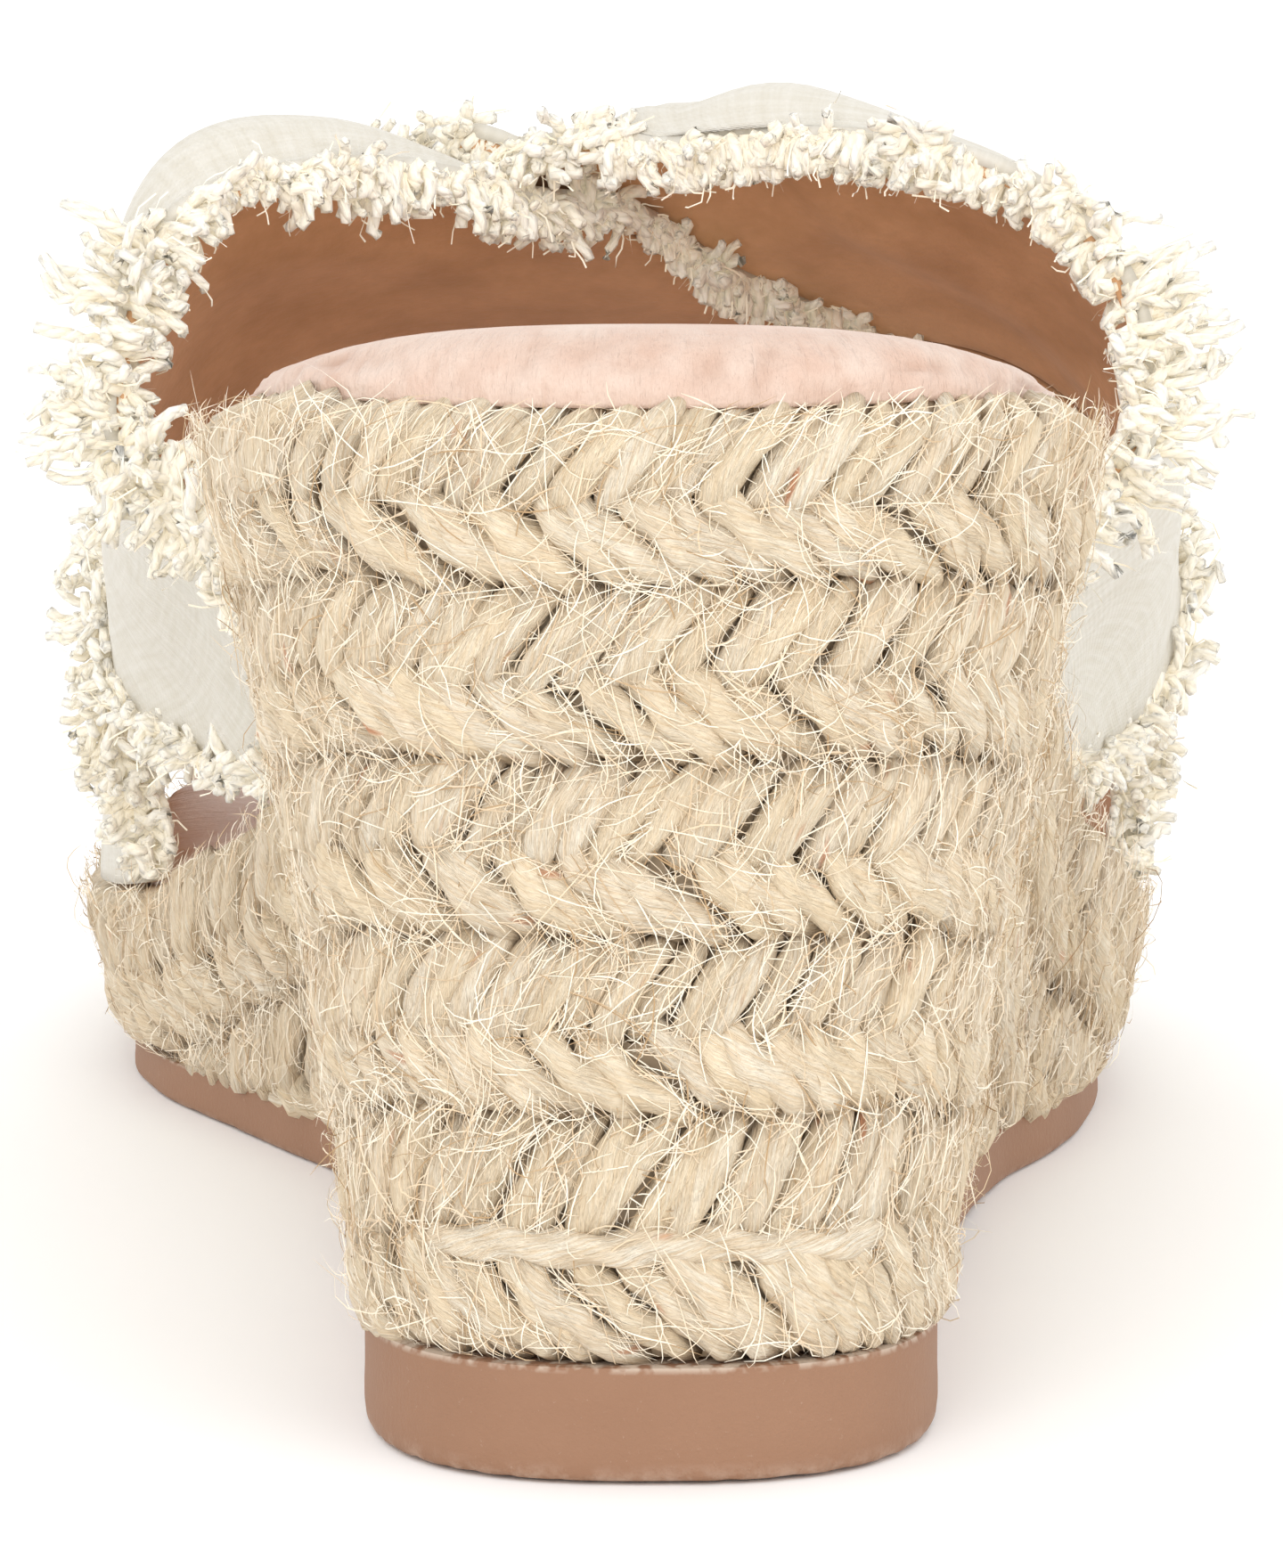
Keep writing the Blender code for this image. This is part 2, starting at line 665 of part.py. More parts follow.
def main():
    for old in list(bpy.data.objects):
        bpy.data.objects.remove(old)
    rubber = make_material("tan_rubber", (0.40, 0.22, 0.15), 0.55)
    jute = make_material("jute", (0.76, 0.65, 0.48), 0.90)
    leather = make_material("blush_leather", (0.82, 0.55, 0.42), 0.45)
    canvas = make_material("cream_canvas", (0.86, 0.82, 0.75), 0.92)
    yarn = make_material("cream_yarn", (0.90, 0.86, 0.77), 0.95)
    make_outsole(rubber)
    make_wedge(jute)
    make_insole(leather)
    make_upper(canvas)
    make_fringe("fringe_under_back", under_edges, 0, no_lift, over_edges, yarn)
    make_fringe("fringe_under_front", under_edges, 1, no_lift, over_edges, yarn)
    make_fringe("fringe_over_back", over_edges, 0, over_lift, under_edges, yarn)
    make_fringe("fringe_over_front", over_edges, 1, over_lift, under_edges, yarn)


main()
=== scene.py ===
"""Looks of the espadrille wedge sandal: braid, padded insole, canvas straps, frayed yarns and outsole."""

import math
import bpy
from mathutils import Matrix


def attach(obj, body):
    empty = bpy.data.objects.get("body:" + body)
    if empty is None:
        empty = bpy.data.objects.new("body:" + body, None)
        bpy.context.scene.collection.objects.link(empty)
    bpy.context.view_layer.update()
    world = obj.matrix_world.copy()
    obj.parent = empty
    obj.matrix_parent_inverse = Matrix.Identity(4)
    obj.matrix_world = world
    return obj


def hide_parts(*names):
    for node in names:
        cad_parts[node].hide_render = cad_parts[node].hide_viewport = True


bl_info = {
    "name": "Espadrille wedge sandal",
    "version": (1, 0, 0),
    "blender": (4, 5, 0),
    "location": "View3D > Sidebar > Sandal",
    "description": "Builds the visible pieces of an espadrille wedge sandal round its CAD frame",
    "category": "Add Mesh",
}

import bmesh
import bpy
import numpy as np
from bpy.props import FloatProperty, FloatVectorProperty, IntProperty, PointerProperty
from bpy.types import Operator, Panel, PropertyGroup
from mathutils import Vector

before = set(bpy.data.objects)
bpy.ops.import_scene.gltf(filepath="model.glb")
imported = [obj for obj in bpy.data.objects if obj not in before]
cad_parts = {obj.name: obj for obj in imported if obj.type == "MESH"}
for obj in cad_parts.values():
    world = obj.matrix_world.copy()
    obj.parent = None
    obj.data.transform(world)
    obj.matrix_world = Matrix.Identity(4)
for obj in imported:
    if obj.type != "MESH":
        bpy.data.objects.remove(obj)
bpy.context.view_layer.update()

MM = 0.001
BODY = "root"

# The sole unit in millimetres, as in the part's source
SOLE_LENGTH = 240.0
BALL_WIDTH = 96.0
SEAT_WIDTH = 70.5
HEEL_HEIGHT = 87.5
PLATFORM_HEIGHT = 17.8
TOE_SPRING = 4.0
HEEL_ROUND = 35.0
TOE_ROUND = 56.0
TOE_SHIFT = 12.0
MIDDLE_ALONG = 119.8
MIDDLE_SIDE = 1.8
TOP_HEEL_POWER = 2.25
TOP_TOE_POWER = 2.15

# The outsole
LIFT_WIDTH = 45.4
TREAD_WIDTH = 88.0
LIFT_ROUND = 27.0
LIFT_POWER = 2.6
BACK_RAKE = 9.5
TOE_SET_BACK = 4.0
OUTSOLE_HEEL = 9.9
OUTSOLE_BALL = 3.5
OUTSOLE_LIP = 0.4
WAIST_RISE = 1.2

# The braid rows
ROW_HEIGHT = 14.3
BASE_ROW_HEIGHT = 19.9
UPPER_ROWS = 4

# The insole and the straps
INSOLE_MARGIN = 3.4
INSOLE_PAD = 6.0
STRAP_THICKNESS = 2.2
LINING_THICKNESS = 0.9
STRAP_JOIN = 0.5
STRAP_INSET = 2.9
FOOT_SHARE = 0.05
FOOT_GAP = 0.5
INSTEP_HEIGHT = 56.5
STRAP_SPAN = 98.0
BACK_BULGE = 2.4
CREST_REACH = 9.0
CREST_HOLD = 10.0
CREST_FALL = 17.0
OVER_RAMP = 13.0
OVER_RAMP_END = 20.0
FRINGE_START = 0.008
FRINGE_FREE_HEIGHT = 7.0
CLEARANCE = 0.3


def scaled(rows, *factors):
    """The table's rows with the columns after the first times their factors."""
    return [(row[0], *(value * factor for value, factor in zip(row[1:], factors))) for row in rows]


# Columns: share of SOLE_LENGTH, inner half width, outer half width, of the braid's top edge
TOP_OUTLINE = scaled([
    (0.00, 0.500, 0.500),
    (0.14, 0.500, 0.500),
    (0.25, 0.470, 0.485),
    (0.35, 0.438, 0.475),
], SEAT_WIDTH, SEAT_WIDTH) + scaled([
    (0.46, 0.325, 0.372),
    (0.53, 0.360, 0.410),
    (0.57, 0.408, 0.436),
    (0.62, 0.470, 0.458),
    (0.66, 0.512, 0.464),
    (0.71, 0.536, 0.460),
    (0.79, 0.530, 0.432),
    (0.87, 0.515, 0.395),
    (1.00, 0.480, 0.330),
], BALL_WIDTH, BALL_WIDTH)

# Columns: share of SOLE_LENGTH, inner half width, outer half width, of the outsole
TREAD_OUTLINE = scaled([
    (0.00, 0.500, 0.500),
    (0.22, 0.500, 0.505),
    (0.34, 0.515, 0.545),
    (0.44, 0.545, 0.610),
], LIFT_WIDTH, LIFT_WIDTH) + scaled([
    (0.50, 0.300, 0.350),
    (0.55, 0.365, 0.405),
    (0.59, 0.420, 0.436),
    (0.66, 0.510, 0.460),
    (0.71, 0.537, 0.460),
    (0.79, 0.532, 0.430),
    (0.87, 0.515, 0.395),
    (1.00, 0.480, 0.330),
], TREAD_WIDTH, TREAD_WIDTH)

# Columns: share of SOLE_LENGTH, share of the rise from the platform to the heel height
TOP_PROFILE = (
    (0.00, 1.000),
    (0.04, 0.990),
    (0.09, 0.955),
    (0.15, 0.908),
    (0.21, 0.842),
    (0.29, 0.712),
    (0.375, 0.530),
    (0.46, 0.346),
    (0.53, 0.198),
    (0.565, 0.140),
    (0.62, 0.055),
    (0.665, 0.016),
    (0.71, 0.000),
    (1.00, 0.000),
)

# Columns: share of SOLE_LENGTH, arch height, inner half span, outer half span, inner and outer squareness
ARCH_PROFILE = scaled([
    (0.33, 0.610, 0.452, 0.412, 6.0, 4.0),
    (0.42, 0.772, 0.458, 0.424, 6.0, 4.0),
    (0.47, 0.868, 0.466, 0.442, 5.5, 4.0),
    (0.52, 0.912, 0.473, 0.456, 5.0, 3.8),
    (0.58, 0.922, 0.480, 0.462, 4.2, 3.5),
    (0.65, 0.882, 0.484, 0.460, 3.4, 3.0),
    (0.71, 0.788, 0.486, 0.450, 3.0, 2.8),
    (0.79, 0.614, 0.480, 0.420, 2.7, 2.6),
    (0.86, 0.503, 0.455, 0.375, 2.5, 2.5),
], INSTEP_HEIGHT, STRAP_SPAN, STRAP_SPAN, 1, 1)

# Columns: share of the arch from its inner to its outer foot, back and front edge as shares of SOLE_LENGTH
UNDER_STRAP = (
    (0.00, 0.385, 0.485),
    (0.035, 0.387, 0.540),
    (0.07, 0.389, 0.585),
    (0.15, 0.398, 0.645),
    (0.29, 0.420, 0.700),
    (0.37, 0.450, 0.735),
    (0.45, 0.500, 0.765),
    (0.51, 0.550, 0.785),
    (0.56, 0.595, 0.795),
    (0.66, 0.650, 0.805),
    (0.80, 0.662, 0.805),
    (1.00, 0.628, 0.790),
)
OVER_STRAP = (
    (0.00, 0.635, 0.850),
    (0.10, 0.632, 0.845),
    (0.20, 0.610, 0.828),
    (0.28, 0.580, 0.805),
    (0.36, 0.545, 0.775),
    (0.45, 0.508, 0.740),
    (0.52, 0.484, 0.712),
    (0.60, 0.460, 0.676),
    (0.70, 0.430, 0.636),
    (0.85, 0.390, 0.600),
    (0.93, 0.371, 0.568),
    (0.965, 0.366, 0.535),
    (1.00, 0.362, 0.485),
)

# Columns: share of the arch from its inner to its outer foot, rise of the straps' crest behind the back edge
CREST = scaled([
    (0.00, 0.000),
    (0.10, 0.000),
    (0.20, 0.045),
    (0.30, 0.103),
    (0.36, 0.092),
    (0.42, 0.052),
    (0.47, 0.020),
    (0.52, 0.060),
    (0.58, 0.110),
    (0.62, 0.075),
    (0.67, 0.022),
    (0.73, 0.000),
    (1.00, 0.000),
], INSTEP_HEIGHT)

# How far the yarns puff out: on the low parts of the sides, on the shoulders, and the height between the two
PUFF_LOW = 0.6
PUFF_HIGH = 1.35
PUFF_START = 60
PUFF_REACH = 14

# The strands: where a row's two halves meet, how far each reaches past that, and their half widths
ROW_MIDDLE = 0.53
BASE_ROW_MIDDLE = 0.46
UPPER_PAST_MIDDLE = 0.06
LOWER_PAST_MIDDLE = 0.11
UPPER_STRAND_HALF = 1.42
LOWER_STRAND_HALF = 1.54
STRAND_MOST_HIGH = 1.35
STRAND_SIDES = 12
STRAND_POINTS = 10
UPPER_TWIST = (0.035, 3, 0.10)
LOWER_TWIST = (0.10, 2, 0.17)
CORE_DEPTH = 1.15

# The level cord of the base row: half width, how far it reaches to each side, points, sides and twist
CORD_HALF = 1.45
CORD_REACH = 26
CORD_POINTS = 90
CORD_SIDES = 16
CORD_TWIST = (0.085, 2, 0.16)

# Headings of the lying fibres on a row's two halves, and the lowest drop that any fibre starts from
UPPER_HEADING = 0.92
LOWER_HEADING = 2.50
LOWEST_DROP = 76.0

# Points along a standing fibre, a lying fibre and a yarn, and the yarn's sides
FIBRE_POINTS = 7
LYING_FIBRE_POINTS = 5
YARN_POINTS = 6
YARN_SIDES = 5
NO_TWIST = (0.0, 0, 0.0)

# The canvas's thread pitch, the arch's usual length and a height off the lining that no yarn reaches
THREAD_PITCH = 0.62
USUAL_ARCH = 200.0
OPEN_HEIGHT = 40.0

# Stations along each side of the core, the outsole and the insole
CORE_STATIONS = 121
OUTSOLE_STATIONS = 161
INSOLE_STATIONS = 241

# How the pad settles: at its middle, towards its sides, and how its foot bulges all round and at the back
PAD_SETTLE = 0.5
PAD_FALL = 2.5
PAD_BULGE = 0.5
PAD_OVERHANG = 2.2

# The camera, fitted to the photograph
SENSOR_HEIGHT = 36.0
LENS_LENGTH = SENSOR_HEIGHT * 12906 / 1760
LENS_SHIFT = -10 / 1760
LOOK_DOWN = 10.46

# Columns: step, share of the pad's height, inset from the pad's edge
PAD_ROUND = (
    (0, 0.00, 0.3),
    (1, 0.34, 0.0),
    (2, 0.62, 0.6),
    (3, 0.82, 2.2),
    (4, 0.94, 5.5),
    (5, 1.00, 12.0),
)


def smooth_curve(rows, column):
    """A curve through the table's rows that never overshoots them."""
    xs = np.array([row[0] for row in rows], float)
    ys = np.array([row[column] for row in rows], float)
    steps = np.diff(xs)
    secants = np.diff(ys) / steps
    slopes = np.zeros(len(xs))
    for i in range(1, len(xs) - 1):
        before, after = secants[i - 1], secants[i]
        if before * after > 0:
            slopes[i] = 2 * before * after / (before + after)
    slopes[0], slopes[-1] = secants[0], secants[-1]

    def value(x):
        x = np.clip(x, xs[0], xs[-1])
        i = np.clip(np.searchsorted(xs, x, side="right") - 1, 0, len(steps) - 1)
        share = (x - xs[i]) / steps[i]
        keep = (1 + 2 * share) * (1 - share) ** 2
        go = share * share * (3 - 2 * share)
        lead = share * (1 - share) ** 2 * steps[i]
        trail = share * share * (share - 1) * steps[i]
        return keep * ys[i] + go * ys[i + 1] + lead * slopes[i] + trail * slopes[i + 1]

    return value


def ease(x):
    """0 below 0, 1 above 1, and smooth between."""
    x = np.clip(x, 0.0, 1.0)
    return x * x * (3 - 2 * x)


def unit(vectors):
    """The vectors at length one."""
    return vectors / np.maximum(np.linalg.norm(vectors, axis=-1, keepdims=True), 1e-12)


def run_along(spots):
    """Distances along a line of points, from 0 at its first."""
    return np.concatenate([[0.0], np.cumsum(np.linalg.norm(np.diff(spots, axis=0), axis=1))])


def place(along, side, height):
    """Points from the distance to the heel's back, the distance to the heel's axis and the height."""
    along, side, height = np.broadcast_arrays(along, side, height)
    return np.stack([side - MIDDLE_SIDE, MIDDLE_ALONG - along, height], -1) * MM


def curves(rows):
    """A smooth curve for each column after the first."""
    return [smooth_curve(rows, column) for column in range(1, len(rows[0]))]


top_halves = curves(TOP_OUTLINE)
tread_halves = curves(TREAD_OUTLINE)
top_rise = smooth_curve(TOP_PROFILE, 1)
arch_columns = curves(ARCH_PROFILE)
under_edges = curves(UNDER_STRAP)
over_edges = curves(OVER_STRAP)
crest_rise = smooth_curve(CREST, 1)
pad_up, pad_inset = curves(PAD_ROUND)


def spring(along):
    """How far the toe has risen off the floor."""
    start = 0.78 * SOLE_LENGTH
    return TOE_SPRING * ease(0.6 * (along - start) / (SOLE_LENGTH - start)) / ease(0.6)


def top_height(along):
    """The height of the braid's top edge."""
    return PLATFORM_HEIGHT + (HEEL_HEIGHT - PLATFORM_HEIGHT) * top_rise(along / SOLE_LENGTH) + spring(along)


def outsole_top(along):
    """The height where the outsole meets the braid."""
    reach = along / (0.71 * SOLE_LENGTH)
    taper = ease(reach) * 0.4 + 0.6 * np.minimum(reach, 1.0)
    return OUTSOLE_HEEL + (OUTSOLE_BALL - OUTSOLE_HEEL) * taper + spring(along)


def outsole_floor(along):
    """The outsole's underside: flat at heel and forefoot, hollow at the waist, rising at the toe."""
    waist = np.sin(np.pi * np.clip((along / SOLE_LENGTH - 0.27) / 0.23, 0.0, 1.0)) ** 2
    return WAIST_RISE * waist + spring(along)


def outline(halves, share, side, inset, back, front, heel_round, heel_power):
    """(along, side) of an outline at shares of its length. inset draws it in all round."""
    start, end = back + inset, SOLE_LENGTH - front - inset
    along = start + share * (end - start)
    half = np.where(side > 0, halves[0](along / SOLE_LENGTH), halves[1](along / SOLE_LENGTH)) - inset
    heel_zone, toe_zone = heel_round - inset, TOE_ROUND - inset
    heel_reach = np.clip((start + heel_zone - along) / heel_zone, 0.0, 1.0)
    toe_reach = np.clip((along - (end - toe_zone)) / toe_zone, 0.0, 1.0)
    across = side * half * (1 - heel_reach**heel_power) ** (1 / heel_power)
    rounding = (1 - toe_reach**TOP_TOE_POWER) ** (1 / TOP_TOE_POWER)
    return along, np.where(toe_reach > 0, TOE_SHIFT + (across - TOE_SHIFT) * rounding, across)


def top_outline(share, side, inset=0.0):
    return outline(top_halves, share, side, inset, 0.0, 0.0, HEEL_ROUND, TOP_HEEL_POWER)


def tread_outline(share, side, inset=0.0):
    return outline(tread_halves, share, side, inset, BACK_RAKE, TOE_SET_BACK, LIFT_ROUND, LIFT_POWER)


def close_at_ends(count):
    """Shares from 0 to 1 that lie closest at heel and toe."""
    return (1 - np.cos(np.pi * np.linspace(0, 1, count))) / 2


def measure_edge():
    """Shares of the outline's length, and the run round the top edge to them on the inner and outer side."""
    shares = close_at_ends(1601)
    runs = []
    for side in (1, -1):
        along, across = top_outline(shares, side)
        runs.append(run_along(place(along, across, top_height(along)) / MM))
    return shares, runs[0], runs[1]


EDGE_SHARES, INNER_RUN, OUTER_RUN = measure_edge()
EDGE_LENGTH = INNER_RUN[-1] + OUTER_RUN[-1]


def round_stations(count):
    """Shares, sides and runs of stations all round: the inner side heel to toe, then the outer side back."""
    shares = close_at_ends(count)
    sides = np.concatenate([np.ones(count), -np.ones(count - 2)])
    inner = np.interp(shares, EDGE_SHARES, INNER_RUN)
    outer = -np.interp(shares, EDGE_SHARES, OUTER_RUN)
    return np.concatenate([shares, shares[-2:0:-1]]), sides, np.concatenate([inner, outer[-2:0:-1]])


def station(run):
    """(share, side) at a run round the top edge: 0 at the heel's back, growing along the inner side."""
    run = (run + OUTER_RUN[-1]) % EDGE_LENGTH - OUTER_RUN[-1]
    inner = np.interp(np.abs(run), INNER_RUN, EDGE_SHARES)
    outer = np.interp(np.abs(run), OUTER_RUN, EDGE_SHARES)
    return np.where(run >= 0, inner, outer), np.where(run >= 0, 1, -1)


def outward(run):
    """The level direction (along, side) that points out of the top edge."""
    after, before = top_outline(*station(run + 1.2)), top_outline(*station(run - 1.2))
    forward, sideways = after[0] - before[0], after[1] - before[1]
    length = np.hypot(forward, sideways)
    return -sideways / length, forward / length


def slope_scale(along):
    """How much taller a row's upright cut is where the top edge slopes."""
    slope = (top_height(along + 1.0) - top_height(along - 1.0)) / 2.0
    return np.sqrt(1 + slope * slope)


def wall_drop(run):
    """How far below the top edge, counted in row heights, the outsole meets the wall."""
    share, side = station(run)
    along = top_outline(share, side)[0]
    return (top_height(along) - outsole_top(tread_outline(share, side)[0])) / slope_scale(along)


def wall(run, drop, out):
    """Points of the wedge's wall, a drop below its top edge, standing out from its plain face by out."""
    share, side = station(run)
    top_along, top_side = top_outline(share, side)
    low_along, low_side = tread_outline(share, side)
    top, low = top_height(top_along), outsole_top(low_along)
    height = top - drop * slope_scale(top_along)
    sunk = np.maximum(low + 0.9 - height, 0.0)
    height = np.maximum(height, low + 0.25)
    rise = (height - low) / (top - low)
    hollow = 1 + 0.4 * (top - low) / HEEL_HEIGHT
    lean = np.sign(rise) * np.abs(rise) ** hollow
    away_along, away_side = outward(run)
    out = out - 1.1 * sunk
    along = low_along + (top_along - low_along) * lean + away_along * out
    across = low_side + (top_side - low_side) * lean + away_side * out
    return place(along, across, height)


def ripple(where, scale, seed, waves=7):
    """Smooth seeded unevenness between about -1 and 1, with features of about the scale."""
    rng = np.random.default_rng(seed)
    total = np.zeros(where.shape[:-1])
    for _ in range(waves):
        direction = unit(rng.normal(size=where.shape[-1]))
        pace = rng.uniform(0.6, 1.6) * 2 * np.pi / scale
        total += np.sin(where @ direction * pace + rng.uniform(0, 2 * np.pi))
    return total / math.sqrt(waves)


def crest(share, along):
    """How far the straps bulge up over the plain arch, ahead of their back edge."""
    ahead = along - np.minimum(under_edges[0](share), over_edges[0](share)) * SOLE_LENGTH
    return crest_rise(share) * ease(ahead / CREST_REACH) * (1 - ease((ahead - CREST_HOLD) / CREST_FALL))


def measure_straps():
    """A fine table of the lining's surface: points, outward normals and arch lengths, by along and share."""
    alongs = np.linspace(0.27 * SOLE_LENGTH, 0.93 * SOLE_LENGTH, 221)
    shares = np.linspace(0, 1, 241)
    columns = [column(alongs / SOLE_LENGTH)[:, None] for column in arch_columns]
    height, inner, outer, inner_square, outer_square = columns
    angle = np.pi * np.linspace(0, 1, 97)[None, :]
    side = np.where(angle <= np.pi / 2, 1.0, -1.0)
    power = np.where(side > 0, inner_square, outer_square)
    narrow = np.abs(np.cos(angle)) ** (2 / power)
    up = np.abs(np.sin(angle)) ** (2 / power)
    halves = [half(alongs / SOLE_LENGTH)[:, None] - STRAP_INSET for half in top_halves]
    base = np.where(side > 0, halves[0], halves[1])
    wide = base + (np.where(side > 0, inner, outer) - base) * ease(up / 0.5)
    xs, zs = side * wide * narrow, top_height(alongs)[:, None] + FOOT_GAP + height * up
    points = np.zeros((len(alongs), len(shares), 3))
    lengths = np.zeros(len(alongs))
    for i in range(len(alongs)):
        run = np.concatenate([[0.0], np.cumsum(np.hypot(np.diff(xs[i]), np.diff(zs[i])))])
        points[i, :, 0] = np.interp(shares * run[-1], run, xs[i])
        points[i, :, 2] = np.interp(shares * run[-1], run, zs[i])
        lengths[i] = run[-1]
    points[:, :, 1] = -alongs[:, None]
    points[:, :, 2] += crest(shares[None, :], alongs[:, None])
    for _ in range(3):
        points[:, 1:-1] = (points[:, :-2] + 2 * points[:, 1:-1] + points[:, 2:]) / 4
    normals = np.cross(np.gradient(points, axis=1), np.gradient(points, axis=0))
    normals = unit(normals)
    normals[:, :, 2] *= ease(np.minimum(shares, 1 - shares) / FOOT_SHARE)
    return alongs, points, unit(normals), lengths


STRAP_ALONGS, STRAP_POINTS, STRAP_NORMALS, ARCH_LENGTHS = measure_straps()


def strap_look(table, share, along):
    """A value of the strap table between its rows and columns."""
    rows, columns = table.shape[:2]
    span = STRAP_ALONGS[-1] - STRAP_ALONGS[0]
    down = np.clip((along - STRAP_ALONGS[0]) / span, 0, 1) * (rows - 1)
    over = np.clip(share, 0, 1) * (columns - 1)
    i, j = np.minimum(down.astype(int), rows - 2), np.minimum(over.astype(int), columns - 2)
    a, b = (down - i)[..., None], (over - j)[..., None]
    near = table[i, j] * (1 - b) + table[i, j + 1] * b
    far = table[i + 1, j] * (1 - b) + table[i + 1, j + 1] * b
    return near * (1 - a) + far * a


def strap_surface(share, along, up):
    """Points in metres a height up off the lining's surface."""
    share, along, up = np.broadcast_arrays(share, along, up)
    away = unit(strap_look(STRAP_NORMALS, share, along)) * up[..., None]
    spot = strap_look(STRAP_POINTS, share, along) + away
    return (spot + np.array([-MIDDLE_SIDE, MIDDLE_ALONG, 0.0])) * MM


def cover(edges, share, along, full, none):
    """1 where a strap lies, or within full of its edges, falling to 0 at none."""
    back, front = (edge(share) * SOLE_LENGTH for edge in edges)
    away = np.maximum(np.maximum(back - along, along - front), 0.0)
    return ease((none - away) / (none - full))


def over_lift(share, along):
    """How far the over strap stands off the lining's surface to pass over the under strap."""
    rear = ease((0.61 - along / SOLE_LENGTH) / 0.10)
    rear *= ease((share - 0.20) / 0.18) * ease((0.95 - share) / 0.22)
    over = cover(under_edges, share, along, OVER_RAMP, OVER_RAMP_END)
    return (STRAP_THICKNESS - STRAP_JOIN) * over + BACK_BULGE * rear


def no_lift(share, along):
    return np.zeros(np.broadcast(share, along).shape)


NO_TRIS = np.zeros((0, 3), int)


def build_mesh(name, points, quads, tris, material, corner_uv=None, values=None):
    """A smooth mesh object from points in metres, faces by index, corner coordinates and point values."""
    mesh = bpy.data.meshes.new(name)
    corners = np.concatenate([quads.ravel(), tris.ravel()]).astype(np.int32)
    starts = np.concatenate([4 * np.arange(len(quads)), 4 * len(quads) + 3 * np.arange(len(tris))])
    mesh.vertices.add(len(points))
    mesh.vertices.foreach_set("co", points.astype(np.float32).ravel())
    mesh.loops.add(len(corners))
    mesh.loops.foreach_set("vertex_index", corners)
    mesh.polygons.add(len(starts))
    mesh.polygons.foreach_set("loop_start", starts.astype(np.int32))
    mesh.update(calc_edges=True)
    if corner_uv is not None:
        layer = mesh.uv_layers.new(name="lay")
        layer.uv.foreach_set("vector", corner_uv.astype(np.float32).ravel())
    for key, numbers in (values or {}).items():
        made = mesh.attributes.new(key, "FLOAT", "POINT")
        made.data.foreach_set("value", numbers.astype(np.float32).ravel())
    mesh.materials.append(material)
    mesh.shade_smooth()
    mesh.validate()
    piece = bpy.data.objects.new(name, mesh)
    bpy.context.scene.collection.objects.link(piece)
    return piece


def dress(piece, stands_for=()):
    """Puts a finished piece on its body, and hides the CAD parts that it stands for."""
    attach(piece, BODY)
    if stands_for:
        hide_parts(*stands_for)
    return piece


def tube_faces(count, length, around):
    """The faces of many closed tubes: four-cornered sides, then three-cornered fans on both ends."""
    base = (np.arange(count) * length * around)[:, None, None]
    row = base + (np.arange(length - 1) * around)[None, :, None]
    here = row + np.arange(around)
    following = row + (np.arange(around) + 1) % around
    quads = np.stack([here, following, following + around, here + around], -1).reshape(-1, 4)
    fan = np.array([(0, k, k + 1) for k in range(1, around - 1)])
    first = base + fan[None, :, ::-1]
    last = base + (length - 1) * around + fan[None]
    return quads, np.concatenate([first.reshape(-1, 3), last.reshape(-1, 3)])


def tube_lay(u, around, tris):
    """Corner coordinates of the tubes' faces: u along each tube, by (tube, station), and 0 to 1 round it."""
    count, length = u.shape
    v = np.arange(around + 1) / around
    grid_u = np.broadcast_to(u[:, :, None], (count, length, around + 1))
    grid_v = np.broadcast_to(v[None, None, :], (count, length, around + 1))
    low_u, high_u = grid_u[:, :-1, :-1], grid_u[:, 1:, :-1]
    low_v, high_v = grid_v[:, :-1, :-1], grid_v[:, :-1, 1:]
    corners = ((low_u, low_v), (low_u, high_v), (high_u, high_v), (high_u, low_v))
    quad_uv = np.stack([np.stack(corner, -1) for corner in corners], 3).reshape(-1, 2)
    flat_u = np.repeat(u, around, axis=1).ravel()
    flat_v = np.tile(np.arange(around) / around, count * length)
    tri_uv = np.stack([flat_u[tris], flat_v[tris]], -1).reshape(-1, 2)
    return np.concatenate([quad_uv, tri_uv])


def tube_mesh(name, centres, ups, wide, high, around, material, twisting, values, seed):
    """Many closed tubes in one piece.

    centres and ups are (tube, station, 3), wide and high (tube, station). twisting is turns in each
    millimetre, the number of lobes and their depth. values are for the points: (tube, station), or
    (tube, station, side).
    """
    turns, lobes, lobe_depth = twisting
    count, length = centres.shape[:2]
    ahead = unit(np.gradient(centres, axis=1))
    ups = unit(ups - ahead * (ups * ahead).sum(-1, keepdims=True))
    sides = np.cross(ups, ahead)
    strides = np.linalg.norm(np.diff(centres, axis=1), axis=-1)
    run = np.concatenate([np.zeros((count, 1)), np.cumsum(strides, axis=1)], 1)
    rng = np.random.default_rng(seed)
    start = rng.uniform(0, 2 * np.pi, (count, 1, 1))
    angle = (2 * np.pi * np.arange(around) / around - np.pi / 2)[None, None, :]
    twist = 2 * np.pi * turns * (run / MM)[:, :, None]
    swell = 1 + lobe_depth * np.cos(lobes * (angle - twist) + start)
    flat = wide[:, :, None] * swell * np.cos(angle)
    tall = high[:, :, None] * swell * np.sin(angle)
    points = centres[:, :, None, :] + sides[:, :, None, :] * flat[..., None]
    points = points + ups[:, :, None, :] * tall[..., None]
    quads, tris = tube_faces(count, length, around)
    lay = tube_lay(rng.uniform(0, 40, (count, 1)) + run / MM / 10, around, tris)
    spread = {}
    for key, numbers in values.items():
        if numbers.ndim == 2:
            numbers = numbers[:, :, None]
        spread[key] = np.broadcast_to(numbers, (count, length, around)).copy()
    return build_mesh(name, points.reshape(-1, 3), quads, tris, material, lay, spread)


